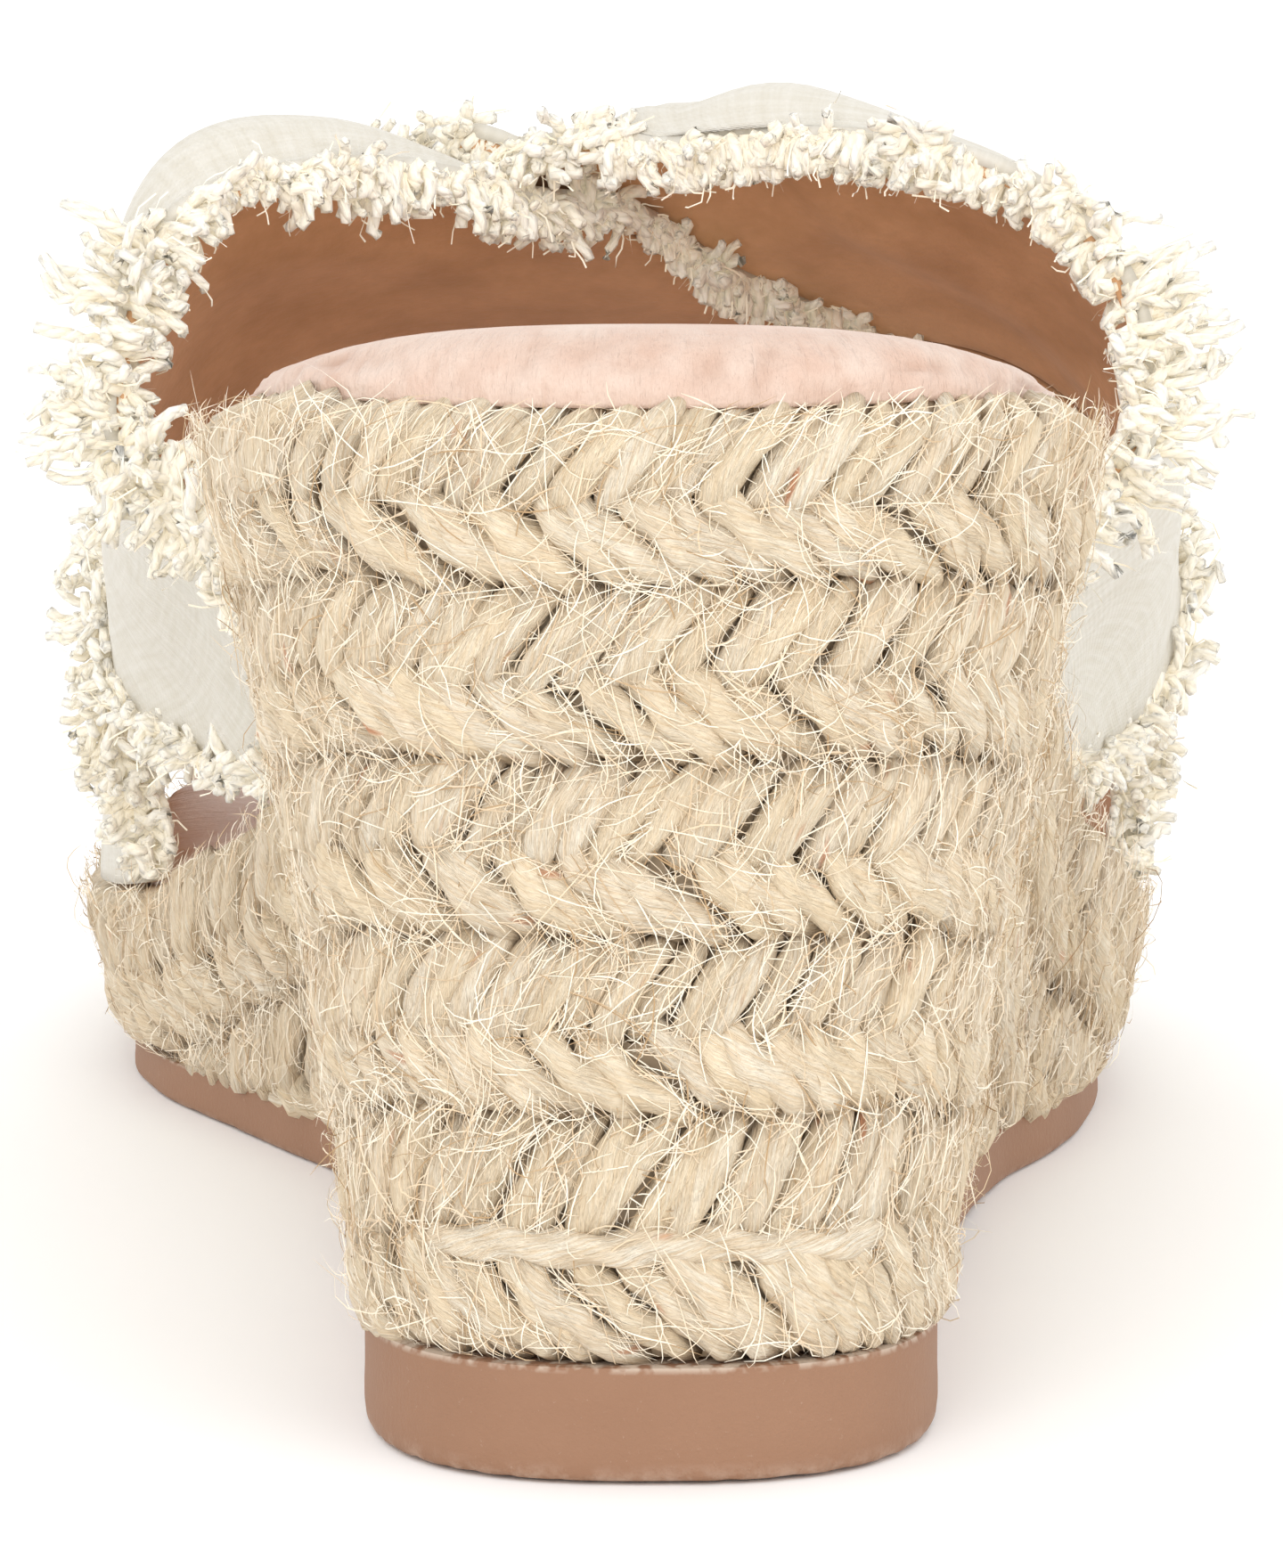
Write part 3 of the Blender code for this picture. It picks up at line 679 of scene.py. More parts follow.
def ribbon_mesh(name, centres, sides, wide, material, values):
    """Many flat fibres in one piece. centres and sides are (fibre, station, 3), wide (fibre, station)."""
    count, length = centres.shape[:2]
    ahead = unit(np.gradient(centres, axis=1))
    sides = unit(sides - ahead * (sides * ahead).sum(-1, keepdims=True)) * wide[..., None] / 2
    points = np.stack([centres - sides, centres + sides], 2)
    base = 2 * (np.arange(count)[:, None] * length + np.arange(length - 1)[None, :])
    quads = np.stack([base, base + 1, base + 3, base + 2], -1).reshape(-1, 4)
    spread = {key: np.repeat(numbers[..., None], 2, axis=2) for key, numbers in values.items()}
    return build_mesh(name, points.reshape(-1, 3), quads, NO_TRIS, material, None, spread)


def put(tree, kind, links=None, **settings):
    """Adds a node, sets its properties, and sets or links its inputs."""
    made = tree.nodes.new(kind)
    for key, value in settings.items():
        setattr(made, key, value)
    for key, value in (links or {}).items():
        if isinstance(value, bpy.types.NodeSocket):
            tree.links.new(value, made.inputs[key])
        else:
            made.inputs[key].default_value = value
    return made


def maths(tree, operation, first, second=0.0):
    """The result of a Math node."""
    return put(tree, "ShaderNodeMath", {0: first, 1: second}, operation=operation).outputs[0]


def plus(tree, first, second):
    return maths(tree, "ADD", first, second)


def times(tree, first, second):
    return maths(tree, "MULTIPLY", first, second)


def rgba(colour):
    return (*colour, 1.0)


def blend_colour(tree, share, first, second):
    """The colour of a Mix node. Colours are sockets or three numbers."""
    first, second = (c if isinstance(c, bpy.types.NodeSocket) else rgba(c) for c in (first, second))
    return put(tree, "ShaderNodeMix", {"Factor": share, 6: first, 7: second}, data_type="RGBA").outputs[2]


def spread_range(tree, value, low, high, to_low=0.0, to_high=1.0):
    """value taken from one range to another, held at its ends."""
    links = {"Value": value, "From Min": low, "From Max": high, "To Min": to_low, "To Max": to_high}
    return put(tree, "ShaderNodeMapRange", links).outputs[0]


def noise(tree, where, scale, detail=3.0, roughness=0.55, stretch=None):
    """The strength of a noise texture, from 0 to 1."""
    if stretch:
        where = put(tree, "ShaderNodeMapping", {"Vector": where, "Scale": stretch}).outputs[0]
    links = {"Vector": where, "Scale": scale, "Detail": detail, "Roughness": roughness}
    return put(tree, "ShaderNodeTexNoise", links).outputs[0]


def point_value(tree, name):
    """A number kept at the mesh's points."""
    return put(tree, "ShaderNodeAttribute", attribute_name=name).outputs["Fac"]


def point_share(tree, name, most):
    """A number from 0 to 1 kept at the mesh's points, made smaller so that its most is the one given."""
    return spread_range(tree, point_value(tree, name), 0.0, 1.0, 0.0, most)


def start_material(name, roughness, specular=0.3, **sockets):
    """A Principled material, with its constants on the shader's own sockets."""
    material = bpy.data.materials.new(name)
    material.use_nodes = True
    tree = material.node_tree
    shader = tree.nodes["Principled BSDF"]
    shader.inputs["Roughness"].default_value = roughness
    shader.inputs["Specular IOR Level"].default_value = specular
    for key, value in sockets.items():
        shader.inputs[key.replace("_", " ").title()].default_value = value
    return material, tree, shader


def finish_material(tree, shader, colour, height, depth):
    """Links the colour, and a bump of that depth in metres."""
    tree.links.new(colour, shader.inputs["Base Color"])
    bump = put(tree, "ShaderNodeBump", {"Height": height, "Strength": 1.0, "Distance": depth})
    tree.links.new(bump.outputs[0], shader.inputs["Normal"])


def jute_material(tones):
    """Natural jute: fine fibres in pale and straw tones, with painted shade where it lies deep, dark fibre
    lines with painted shade in the grooves between fibres, and rare rusty specks.
    """
    material, tree, shader = start_material("jute_fibre", 0.72, 0.22)
    lay = put(tree, "ShaderNodeUVMap", uv_map="lay").outputs[0]
    twisted = put(tree, "ShaderNodeSeparateXYZ", {0: lay})
    across = plus(tree, times(tree, twisted.outputs[0], 0.35), twisted.outputs[1])
    lay = put(tree, "ShaderNodeCombineXYZ", {0: twisted.outputs[0], 1: across}).outputs[0]
    fine = noise(tree, lay, 1.0, 4.0, 0.7, (2.6, 34.0, 1.0))
    thin = noise(tree, lay, 1.0, 3.0, 0.6, (4.2, 62.0, 1.0))
    broad = noise(tree, lay, 1.0, 2.0, 0.5, (1.8, 6.0, 1.0))
    patch = noise(tree, lay, 1.0, 1.0, 0.5, (1.5, 4.5, 1.0))
    streak = spread_range(tree, fine, 0.36, 0.60)
    colour = blend_colour(tree, streak, tones.jute_straw, tones.jute_pale)
    shade = spread_range(tree, broad, 0.40, 0.66, 0.0, 0.55)
    colour = blend_colour(tree, shade, colour, tones.jute_straw)
    tint = point_share(tree, "tint", 0.55)
    colour = blend_colour(tree, tint, colour, tones.jute_warm)
    # Thin dark lines: dark fibres, and painted shade in the grooves between fibres where the bump is low
    gap = spread_range(tree, thin, 0.30, 0.42, 0.50, 0.0)
    colour = blend_colour(tree, gap, colour, tones.jute_brown_and_gap_shade)
    speck = spread_range(tree, patch, 0.71, 0.77, 0.0, 0.8)
    colour = blend_colour(tree, speck, colour, tones.jute_rust)
    # Painted shade: leans to the jute's deep colour where the surface lies deep in the braid
    depth_shade = point_share(tree, "depth_shade", 0.85)
    colour = blend_colour(tree, depth_shade, colour, tones.jute_shadow)
    height = plus(tree, fine, times(tree, broad, 1.2))
    height = plus(tree, height, times(tree, thin, 0.6))
    finish_material(tree, shader, colour, height, 0.00042)
    return material


def hair_material(tones):
    """Loose jute fibres: most pale, some straw, few brown."""
    material, tree, shader = start_material("jute_hair", 0.5, 0.3)
    tint = point_value(tree, "tint")
    straw = spread_range(tree, tint, 0.25, 0.85)
    colour = blend_colour(tree, straw, tones.jute_pale, tones.jute_straw)
    colour = blend_colour(tree, spread_range(tree, tint, 0.86, 0.96), colour, tones.jute_brown_and_gap_shade)
    tree.links.new(colour, shader.inputs["Base Color"])
    return material


def yarn_material(tones):
    """Soft twisted cotton yarn: ply lines round it, a warm painted shade in the ply grooves and deep in the
    fringe, and a faint painted glow.
    """
    # The emission is painted light: a faint warm glow that lifts the shade between the yarns
    sockets = {"sheen_weight": 0.7, "emission_strength": 0.15}
    material, tree, shader = start_material("cotton_yarn", 0.9, 0.12, **sockets)
    lay = put(tree, "ShaderNodeUVMap", uv_map="lay").outputs[0]
    parts = put(tree, "ShaderNodeSeparateXYZ", {0: lay})
    turn = plus(tree, times(tree, parts.outputs[0], 5.5), times(tree, parts.outputs[1], 2.0))
    plies = maths(tree, "ABSOLUTE", maths(tree, "SINE", times(tree, turn, math.pi)))
    fluff = noise(tree, lay, 1.0, 3.0, 0.6, (9.0, 12.0, 1.0))
    # Painted shade: the ply grooves, where the bump is low, lean to the warm deep colour
    groove = spread_range(tree, plies, 0.0, 0.45, 0.30, 0.0)
    colour = blend_colour(tree, groove, tones.yarn_cream, tones.yarn_warm_shade_and_glow)
    tint = point_share(tree, "tint", 0.4)
    colour = blend_colour(tree, tint, colour, tones.yarn_warm_shade_and_glow)
    # Painted shade: the yarns lean to the warm deep colour towards their roots, deep in the fringe
    depth_shade = point_share(tree, "depth_shade", 0.6)
    colour = blend_colour(tree, depth_shade, colour, tones.yarn_warm_shade_and_glow)
    # The colour of the painted glow
    shader.inputs["Emission Color"].default_value = rgba(tones.yarn_warm_shade_and_glow)
    height = plus(tree, plies, times(tree, fluff, 0.8))
    finish_material(tree, shader, colour, height, 0.00022)
    return material


def canvas_material(tones):
    """Plain woven cotton canvas with slubs, and painted shade between its threads."""
    material, tree, shader = start_material("canvas_weave", 0.88, 0.15, sheen_weight=0.15)
    lay = put(tree, "ShaderNodeUVMap", uv_map="lay").outputs[0]
    parts = put(tree, "ShaderNodeSeparateXYZ", {0: lay})
    pace = 2 * math.pi * 10 / THREAD_PITCH
    warp = maths(tree, "SINE", times(tree, parts.outputs[0], pace))
    weft = maths(tree, "SINE", times(tree, parts.outputs[1], pace))
    weave = spread_range(tree, times(tree, warp, weft), -1.0, 1.0)
    slub = noise(tree, lay, 1.0, 3.0, 0.6, (1.5, 14.0, 1.0))
    cross_slub = noise(tree, lay, 1.0, 3.0, 0.6, (14.0, 1.5, 1.0))
    threads = plus(tree, slub, cross_slub)
    worn = spread_range(tree, threads, 0.75, 1.25)
    colour = blend_colour(tree, worn, tones.canvas_dark_thread_and_shade, tones.canvas)
    # Painted shade: darker where the weave's bump is low, between the threads
    between = spread_range(tree, weave, 0.0, 0.5, 0.12, 0.0)
    colour = blend_colour(tree, between, colour, tones.canvas_dark_thread_and_shade)
    finish_material(tree, shader, colour, plus(tree, times(tree, weave, 0.5), threads), 0.00010)
    return material


def lining_material(tones):
    """Brushed suede-like lining, with a near black painted shade in the seam groove beside each edge."""
    material, tree, shader = start_material("suede_lining", 0.85, 0.15, sheen_weight=0.2)
    spot = put(tree, "ShaderNodeTexCoord").outputs["Object"]
    cloud = noise(tree, spot, 75.0, 4.0, 0.6)
    nap = noise(tree, spot, 1400.0, 2.0, 0.6)
    colour = blend_colour(tree, spread_range(tree, cloud, 0.36, 0.60), tones.lining_deep, tones.lining)
    colour = blend_colour(tree, spread_range(tree, nap, 0.3, 0.7, 0.18, 0.0), colour, tones.lining_deep)
    # Painted shade in the seam groove beside each edge
    colour = blend_colour(tree, point_value(tree, "seam"), colour, tones.seam)
    finish_material(tree, shader, colour, plus(tree, nap, cloud), 0.00010)
    return material


def leather_material(tones):
    """Soft blush leather: fine pebble grain, pores, faint mottling, a satin gloss, and painted shade in its
    creases and in the grooves of its wrinkle lines.
    """
    material, tree, shader = start_material("blush_leather", 0.46, 0.4, coat_weight=0.08, coat_roughness=0.35)
    spot = put(tree, "ShaderNodeTexCoord").outputs["Object"]
    warped = noise(tree, spot, 160.0, 3.0, 0.6)
    pebbles = {"Vector": spot, "Scale": 1500.0, "Randomness": 1.0}
    grain = put(tree, "ShaderNodeTexVoronoi", pebbles, feature="SMOOTH_F1")
    fine = noise(tree, spot, 2200.0, 3.0, 0.6)
    round_edge = {0: point_value(tree, "run"), 1: point_value(tree, "up")}
    flow = put(tree, "ShaderNodeCombineXYZ", round_edge).outputs[0]
    lines = noise(tree, flow, 1.0, 5.0, 0.65, (0.75, 0.16, 1.0))
    near_edge = spread_range(tree, point_value(tree, "up"), 8.0, 11.5, 1.0, 0.0)
    lines = plus(tree, times(tree, maths(tree, "SUBTRACT", lines, 0.5), near_edge), 0.5)
    colour = blend_colour(tree, spread_range(tree, warped, 0.35, 0.68), tones.leather, tones.leather_light)
    # Painted shade in the creases
    crease_shade = times(tree, point_value(tree, "crease_shade"), 0.75)
    colour = blend_colour(tree, crease_shade, colour, tones.leather_crease_shade)
    # Painted shade in the grooves of the wrinkle lines, where their bump is low
    line_groove_shade = spread_range(tree, lines, 0.30, 0.46, 0.34, 0.0)
    colour = blend_colour(tree, line_groove_shade, colour, tones.leather_crease_shade)
    height = plus(tree, times(tree, grain.outputs[0], 0.35), times(tree, fine, 0.35))
    height = plus(tree, height, times(tree, lines, 2.2))
    finish_material(tree, shader, colour, height, 0.00026)
    return material


def rubber_material(tones):
    """Matte moulded rubber, dusty, rubbed paler along its lower edge, with a pale line of glue at its top."""
    material, tree, shader = start_material("matte_rubber", 0.62, 0.3)
    spot = put(tree, "ShaderNodeTexCoord").outputs["Object"]
    cloud = noise(tree, spot, 60.0, 4.0, 0.6)
    grit = noise(tree, spot, 1800.0, 3.0, 0.7)
    pale = spread_range(tree, cloud, 0.3, 0.7, 0.0, 0.6)
    colour = blend_colour(tree, pale, tones.rubber, tones.rubber_light)
    rubbed = spread_range(tree, noise(tree, spot, 420.0, 4.0, 0.7), 0.42, 0.62)
    scuff = times(tree, point_value(tree, "wear"), rubbed)
    colour = blend_colour(tree, times(tree, scuff, 0.8), colour, tones.rubber_dust)
    ragged = spread_range(tree, noise(tree, spot, 700.0, 2.0, 0.6), 0.42, 0.56)
    colour = blend_colour(tree, times(tree, point_value(tree, "glue"), ragged), colour, tones.glue)
    speck = spread_range(tree, grit, 0.66, 0.74, 0.0, 0.35)
    colour = blend_colour(tree, speck, colour, tones.rubber_dust)
    finish_material(tree, shader, colour, plus(tree, grit, times(tree, cloud, 2.0)), 0.00010)
    return material


def tone(name, description, default):
    return FloatVectorProperty(name=name, description=description, default=default, min=0, max=1, size=3,
                               subtype="COLOR")


def count_of(name, description, default, low=0):
    return IntProperty(name=name, description=description, default=default, min=low)


def strength(name, description, default, **unit_of):
    return FloatProperty(name=name, description=description, default=default, **unit_of)


def length(name, description, default, low=0.0, high=0.5):
    return FloatProperty(name=name, description=description, default=default, min=low, max=high,
                         subtype="DISTANCE", unit="LENGTH", precision=5)


class SandalTones(PropertyGroup):
    """Colours of the sandal's materials"""

    jute_pale: tone("Jute, pale fibre", "Colour of the palest jute fibres", (0.92, 0.84, 0.695))
    jute_straw: tone("Jute, straw fibre", "Colour of the darker jute fibres", (0.74, 0.575, 0.385))
    jute_warm: tone("Jute, warm strand", "Colour that some strands lean to", (0.83, 0.665, 0.44))
    # Brown fibres, and also the painted shade in the grooves between the braid's fibres
    jute_brown_and_gap_shade: tone("Jute, brown fibre", "Colour of the rare dark fibres", (0.44, 0.285, 0.145))
    jute_rust: tone("Jute, rusty speck", "Colour of the rare specks", (0.60, 0.24, 0.11))
    jute_shadow: tone("Jute, deep", "Colour between the strands", (0.33, 0.205, 0.105))
    leather: tone("Leather", "Colour of the insole", (0.64, 0.449, 0.355))
    leather_light: tone("Leather, light", "Paler mottling of the insole", (0.70, 0.548, 0.458))
    # The painted shade in the insole's creases and wrinkle grooves
    leather_crease_shade: tone("Leather, creases", "Colour in the creases", (0.46, 0.275, 0.19))
    canvas: tone("Canvas", "Colour of the strap canvas", (0.69, 0.66, 0.595))
    # Darker threads, and also the painted shade between the canvas threads
    canvas_dark_thread_and_shade: tone("Canvas, between threads", "Colour between the canvas threads", (0.61, 0.57, 0.485))
    lining: tone("Lining", "Colour of the strap lining", (0.78, 0.475, 0.27))
    lining_deep: tone("Lining, brushed dark", "Darker patches of the lining", (0.60, 0.345, 0.185))
    # The painted shade in the seam groove beside the lining's edge
    seam: tone("Seam", "Colour of the seam beside the lining's edge", (0.10, 0.05, 0.03))
    yarn_cream: tone("Yarn", "Colour of the frayed yarns", (0.89, 0.865, 0.80))
    # Warm tint, the painted shade deep in the fringe and in the ply grooves, and the colour of the painted
    # glow
    yarn_warm_shade_and_glow: tone("Yarn, deep", "Colour deep in the frayed yarns", (0.93, 0.82, 0.60))
    rubber: tone("Rubber", "Colour of the outsole", (0.29, 0.155, 0.092))
    rubber_light: tone("Rubber, light", "Paler clouds of the outsole", (0.335, 0.185, 0.113))
    glue: tone("Glue", "Colour of the dried glue above the outsole", (0.72, 0.63, 0.52))
    rubber_dust: tone("Rubber, dust", "Colour of scuffs and dust on the outsole", (0.50, 0.355, 0.27))


class SandalBraid(PropertyGroup):
    """Sizes of the jute braid"""

    upper_pitch: length("Upper pitch", "Spacing of a row's upper strands", 0.0030)
    lower_pitch: length("Lower pitch", "Spacing of a row's lower strands", 0.0039)
    upper_lean: length("Upper lean", "How far an upper strand runs along the row", 0.0062)
    lower_lean: length("Lower lean", "How far a lower strand runs along the row", 0.0100)
    hair_count: count_of("Loose hairs", "Number of standing fibres", 11000)
    lying_count: count_of("Lying hairs", "Number of fibres along the strands", 15000)
    hair_length: length("Hair length", "Usual length of a loose fibre", 0.0062)
    hair_width: length("Hair width", "Width of a loose fibre, which is flat", 0.000095)


class SandalFringe(PropertyGroup):
    """Sizes of the frayed yarns"""

    yarn_thickness: length("Yarn thickness", "Thickness of one yarn", 0.00112)
    yarn_length: length("Yarn length", "Usual length of a free yarn", 0.0082)
    yarn_pitch: length("Yarn pitch", "Spacing of the yarns in one layer", 0.00085)
    layers: count_of("Layers", "Layers of yarns over the edge's thickness", 6, 1)
    tuft_pitch: length("Tuft pitch", "Spacing of the tufts that the yarns clump into", 0.0032)
    fluff_width: length("Fluff width", "Width of the fine fibres that stray from the yarns", 0.00016)


class SandalStage(PropertyGroup):
    """Floor, lights and camera"""

    floor_size: length("Floor size", "Side of the floor", 8.0, 0.1, 50.0)
    camera_distance: length("Camera distance", "Camera to the heel's back, level", 0.872, 0.1, 10.0)
    camera_height: length("Camera height", "Camera above the floor", 0.219, 0.01, 10.0)
    world_strength: strength("World", "Strength of the even white surroundings", 1.19)
    key_power: strength("Key", "Power of the main soft light", 5.4, unit="POWER")
    fill_power: strength("Fill", "Power of the soft light from the other side", 2.8, unit="POWER")


def braid_strands(run_starts, row_top, row_height, span, lean, radius, upper, rng):
    """Runs, drops, stand outs and half widths of one half row's strands."""
    count = len(run_starts)
    t = np.linspace(0, 1, STRAND_POINTS)[None, :]
    low, high = span
    lean = lean * rng.uniform(0.80, 1.18, (count, 1))
    drop = row_top + row_height * (low + (high - low) * t) + rng.normal(0, 0.30, (count, 1))
    if upper:
        run = run_starts[:, None] + lean * (1 - (1 - t) ** 1.35)
        out = -1.7 + 1.75 * ease(t / 0.20) + 0.45 * t - 2.0 * ease((t - 0.84) / 0.16)
    else:
        run = run_starts[:, None] + lean * (1 - t**1.55)
        out = -1.3 + 1.45 * ease(t / 0.30) + 0.30 * np.sin(np.pi * t) - 1.9 * ease((t - 0.80) / 0.20)
    run = run + 0.25 * np.sin(np.pi * t * rng.uniform(0.7, 1.6, (count, 1))) * rng.normal(0, 1, (count, 1))
    out = out + rng.normal(0, 0.20, (count, 1))
    full = np.sin(np.pi * np.clip(t, 0.04, 0.96)) ** 0.45
    wide = radius * rng.uniform(0.84, 1.18, (count, 1)) * (0.55 + 0.45 * full)
    return run, drop, out, wide


def braid_half(row, upper, settings, material):
    """The upper or the lower half of one row of the braid: strands that lean one way."""
    rng = np.random.default_rng(70 + 2 * row + upper)
    base = row == UPPER_ROWS
    row_top, row_height = row * ROW_HEIGHT, BASE_ROW_HEIGHT if base else ROW_HEIGHT
    middle = BASE_ROW_MIDDLE if base else ROW_MIDDLE
    if upper:
        pitch, lean = settings.upper_pitch / MM, settings.upper_lean / MM
        span, radius = (0.0, middle + UPPER_PAST_MIDDLE), UPPER_STRAND_HALF
    else:
        pitch, lean = settings.lower_pitch / MM, settings.lower_lean / MM
        span, radius = (middle - LOWER_PAST_MIDDLE, 1.0), LOWER_STRAND_HALF
    count = int(EDGE_LENGTH / pitch)
    starts = -OUTER_RUN[-1] + (np.arange(count) + 0.5) * EDGE_LENGTH / count
    starts = starts + rng.normal(0, 0.11 * pitch, count)
    kept = wall_drop(starts + 0.5 * lean) > row_top + row_height * (span[0] + 0.06)
    starts = starts[kept]
    run, drop, out, wide = braid_strands(starts, row_top, row_height, span, lean, radius, upper, rng)
    t = np.linspace(0, 1, run.shape[1])[None, :]
    # How far out each strand counts for its painted shade; near the top edge the upper strands count as
    # further out, so they take less of it
    shown = out
    if row == 0 and upper:
        shown = shown + 2.0 * (1 - ease(t / 0.25))
        out = out - 0.9 * (1 - ease(t / 0.25))
        drop = drop + 0.55 * (1 - ease(t / 0.3))
    if base and not upper:
        drop = drop + ease((CORD_REACH - np.abs(starts)) / 6)[:, None] * (1 - t) * 0.10 * row_height
    centres = wall(run, drop, out)
    ups = unit(wall(run, drop, out + 1.0) - centres)
    high = np.minimum(wide * 0.85, STRAND_MOST_HIGH)
    angle = 2 * np.pi * np.arange(STRAND_SIDES) / STRAND_SIDES - np.pi / 2
    stands = shown[:, :, None] + high[:, :, None] * np.sin(angle)
    # The painted shade of each point: 1 where the strand's surface lies deep in the braid, falling to 0 where
    # it stands out
    values = {"tint": rng.uniform(0, 1, (len(run), 1)) + 0 * run, "depth_shade": 1 - ease((stands + 1.35) / 1.75)}
    name = f"jute_row_{row + 1}_{'upper' if upper else 'lower'}"
    twist = UPPER_TWIST if upper else LOWER_TWIST
    return tube_mesh(name, centres, ups, wide * MM, high * MM, STRAND_SIDES, material, twist, values, row)


def core_cord(material):
    """The cord that shows level between the two halves of the base row."""
    run = np.linspace(-CORD_REACH - 1, CORD_REACH - 1, CORD_POINTS)[None, :]
    drop = UPPER_ROWS * ROW_HEIGHT + 0.535 * BASE_ROW_HEIGHT + 0.25 * np.sin(run * 0.35)
    out = 0.75 + 0.2 * np.sin(run * 0.21) - 2.8 * (1 - ease((CORD_REACH - np.abs(run)) / 5))
    centres = wall(run, drop, out)
    ups = unit(wall(run, drop, out + 1.0) - centres)
    wide = np.full(run.shape, CORD_HALF) * MM
    values = {"tint": 0 * run, "depth_shade": 0 * run}
    name = "jute_core_cord"
    return tube_mesh(name, centres, ups, wide, wide * 0.9, CORD_SIDES, material, CORD_TWIST, values, 11)


def jute_core(material):
    """The braid's inside, half in painted shade, seen only between its strands, closed under the insole and
    on the outsole.
    """
    runs = round_stations(CORE_STATIONS)[2]
    foot = wall_drop(runs)
    rings = []
    for level in np.linspace(0, 1, 26):
        drop = level * foot + (1 - level) * 0.1
        rings.append(wall(runs, drop, -CORE_DEPTH - 1.3 * (level == 0)))
    points = np.array(rings)
    # Half painted shade all over, for the shade in the gaps between the strands
    half = np.full(points.shape[:2], 0.5)
    return ring_stack("jute_core", points, material, {"tint": half, "depth_shade": half})


def ring_stack(name, rings, material, values):
    """A closed body through rings of paired stations: inner side heel to toe, then outer side back to it."""
    levels, count = rings.shape[:2]
    here = np.arange(count)
    following = (here + 1) % count
    quads = []
    for level in range(levels - 1):
        low, high = level * count, (level + 1) * count
        quads.append(np.stack([low + here, low + following, high + following, high + here], -1))
    half = count // 2
    tris = []
    caps = []
    for base, flip in ((0, False), ((levels - 1) * count, True)):
        n = np.arange(1, half - 1)
        cap = np.stack([base + n, base + n + 1, base + count - n - 1, base + count - n], -1)
        ends = np.array([(base, base + 1, base + count - 1), (base + half - 1, base + half, base + half + 1)])
        caps.append(cap[:, ::-1] if flip else cap)
        tris.append(ends[:, ::-1] if flip else ends)
    quads = np.concatenate(quads + caps)
    tris = np.concatenate(tris)
    made = build_mesh(name, rings.reshape(-1, 3), quads, tris, material, None, values)
    face_outwards(made)
    return made


def face_outwards(piece):
    """Turns the faces of a closed body outwards."""
    form = bmesh.new()
    form.from_mesh(piece.data)
    bmesh.ops.recalc_face_normals(form, faces=form.faces)
    form.to_mesh(piece.data)
    form.free()
    piece.data.update()


def lay_angle(drop):
    """The heading, in run and drop, of the strands at a drop below the top edge."""
    row = np.minimum(drop // ROW_HEIGHT, UPPER_ROWS)
    height = np.where(row == UPPER_ROWS, BASE_ROW_HEIGHT, ROW_HEIGHT)
    upper = (drop - row * ROW_HEIGHT) / height < 0.5
    return np.where(upper, UPPER_HEADING, LOWER_HEADING)


def hair_shapes(drop, lying, t, settings, rng):
    """Reach, heading and bend of each fibre, and how far its points stand out."""
    count = len(drop)
    if lying:
        reach = rng.uniform(2.5, 8.0, count)
        heading = lay_angle(drop) + rng.normal(0, 0.38, count) + np.pi * rng.integers(0, 2, count)
        bend = rng.normal(0, 0.7, count)
        peak = rng.normal(1.30, 0.35, count)[:, None]
        return reach, heading, bend, peak + 0.4 * np.sin(np.pi * t) - 0.2
    reach = settings.hair_length / MM * rng.lognormal(-0.1, 0.5, count)
    heading = rng.uniform(0, 2 * np.pi, count)
    bend = rng.normal(0, 1.7, count)
    loop = rng.uniform(0, 1, count) < 0.6
    rise = np.where(loop[:, None], np.sin(np.pi * t), t ** rng.uniform(0.7, 1.5, count)[:, None])
    return reach, heading, bend, 1.0 + np.minimum(rng.gamma(1.0, 0.55, count), 4.0)[:, None] * rise


def loose_hairs(name, count, lying, settings, material, seed):
    """Fine fibres: lying ones follow the strands under them, the others stand off the braid."""
    rng = np.random.default_rng(seed)
    length = LYING_FIBRE_POINTS if lying else FIBRE_POINTS
    run = rng.uniform(-OUTER_RUN[-1], INNER_RUN[-1], 6 * count)
    drop = rng.uniform(0.2, LOWEST_DROP, 6 * count)
    kept = drop < wall_drop(run) - 0.5
    run, drop = run[kept][:count], drop[kept][:count]
    count = len(run)
    t = np.linspace(0, 1, length)[None, :]
    reach, heading, bend, out = hair_shapes(drop, lying, t, settings, rng)
    turn = heading[:, None] + bend[:, None] * t
    step = reach[:, None] / (length - 1)
    flat_run = np.cumsum(np.cos(turn) * step, axis=1) - (np.cos(turn) * step)[:, :1]
    flat_drop = np.cumsum(np.sin(turn) * step, axis=1) - (np.sin(turn) * step)[:, :1]
    flat_run = flat_run - flat_run.mean(1, keepdims=True)
    flat_drop = flat_drop - flat_drop.mean(1, keepdims=True)
    deepest = wall_drop(run)[:, None] - 0.4
    spots = drop[:, None] + flat_drop
    spots = np.where(spots < 0.3, 0.3 + 0.45 * (spots - 0.3), spots)
    spots = np.where(spots > deepest, deepest + 0.15 * (spots - deepest), spots)
    centres = wall(run[:, None] + flat_run, np.minimum(spots, deepest + 0.4), out)
    off_wall = wall(run, drop, 2.0)[:, None] - wall(run, drop, 0.0)[:, None]
    sides = np.cross(np.gradient(centres, axis=1), off_wall)
    sides = unit(sides) + rng.normal(0, 0.25 if lying else 0.8, (count, 1, 3))
    wide = settings.hair_width * rng.uniform(0.6, 1.3, count)[:, None] * (1 - 0.75 * (2 * t - 1) ** 4)
    values = {"tint": rng.uniform(0, 1, (count, 1)) + 0 * t}
    return ribbon_mesh(name, centres, sides, wide, material, values)


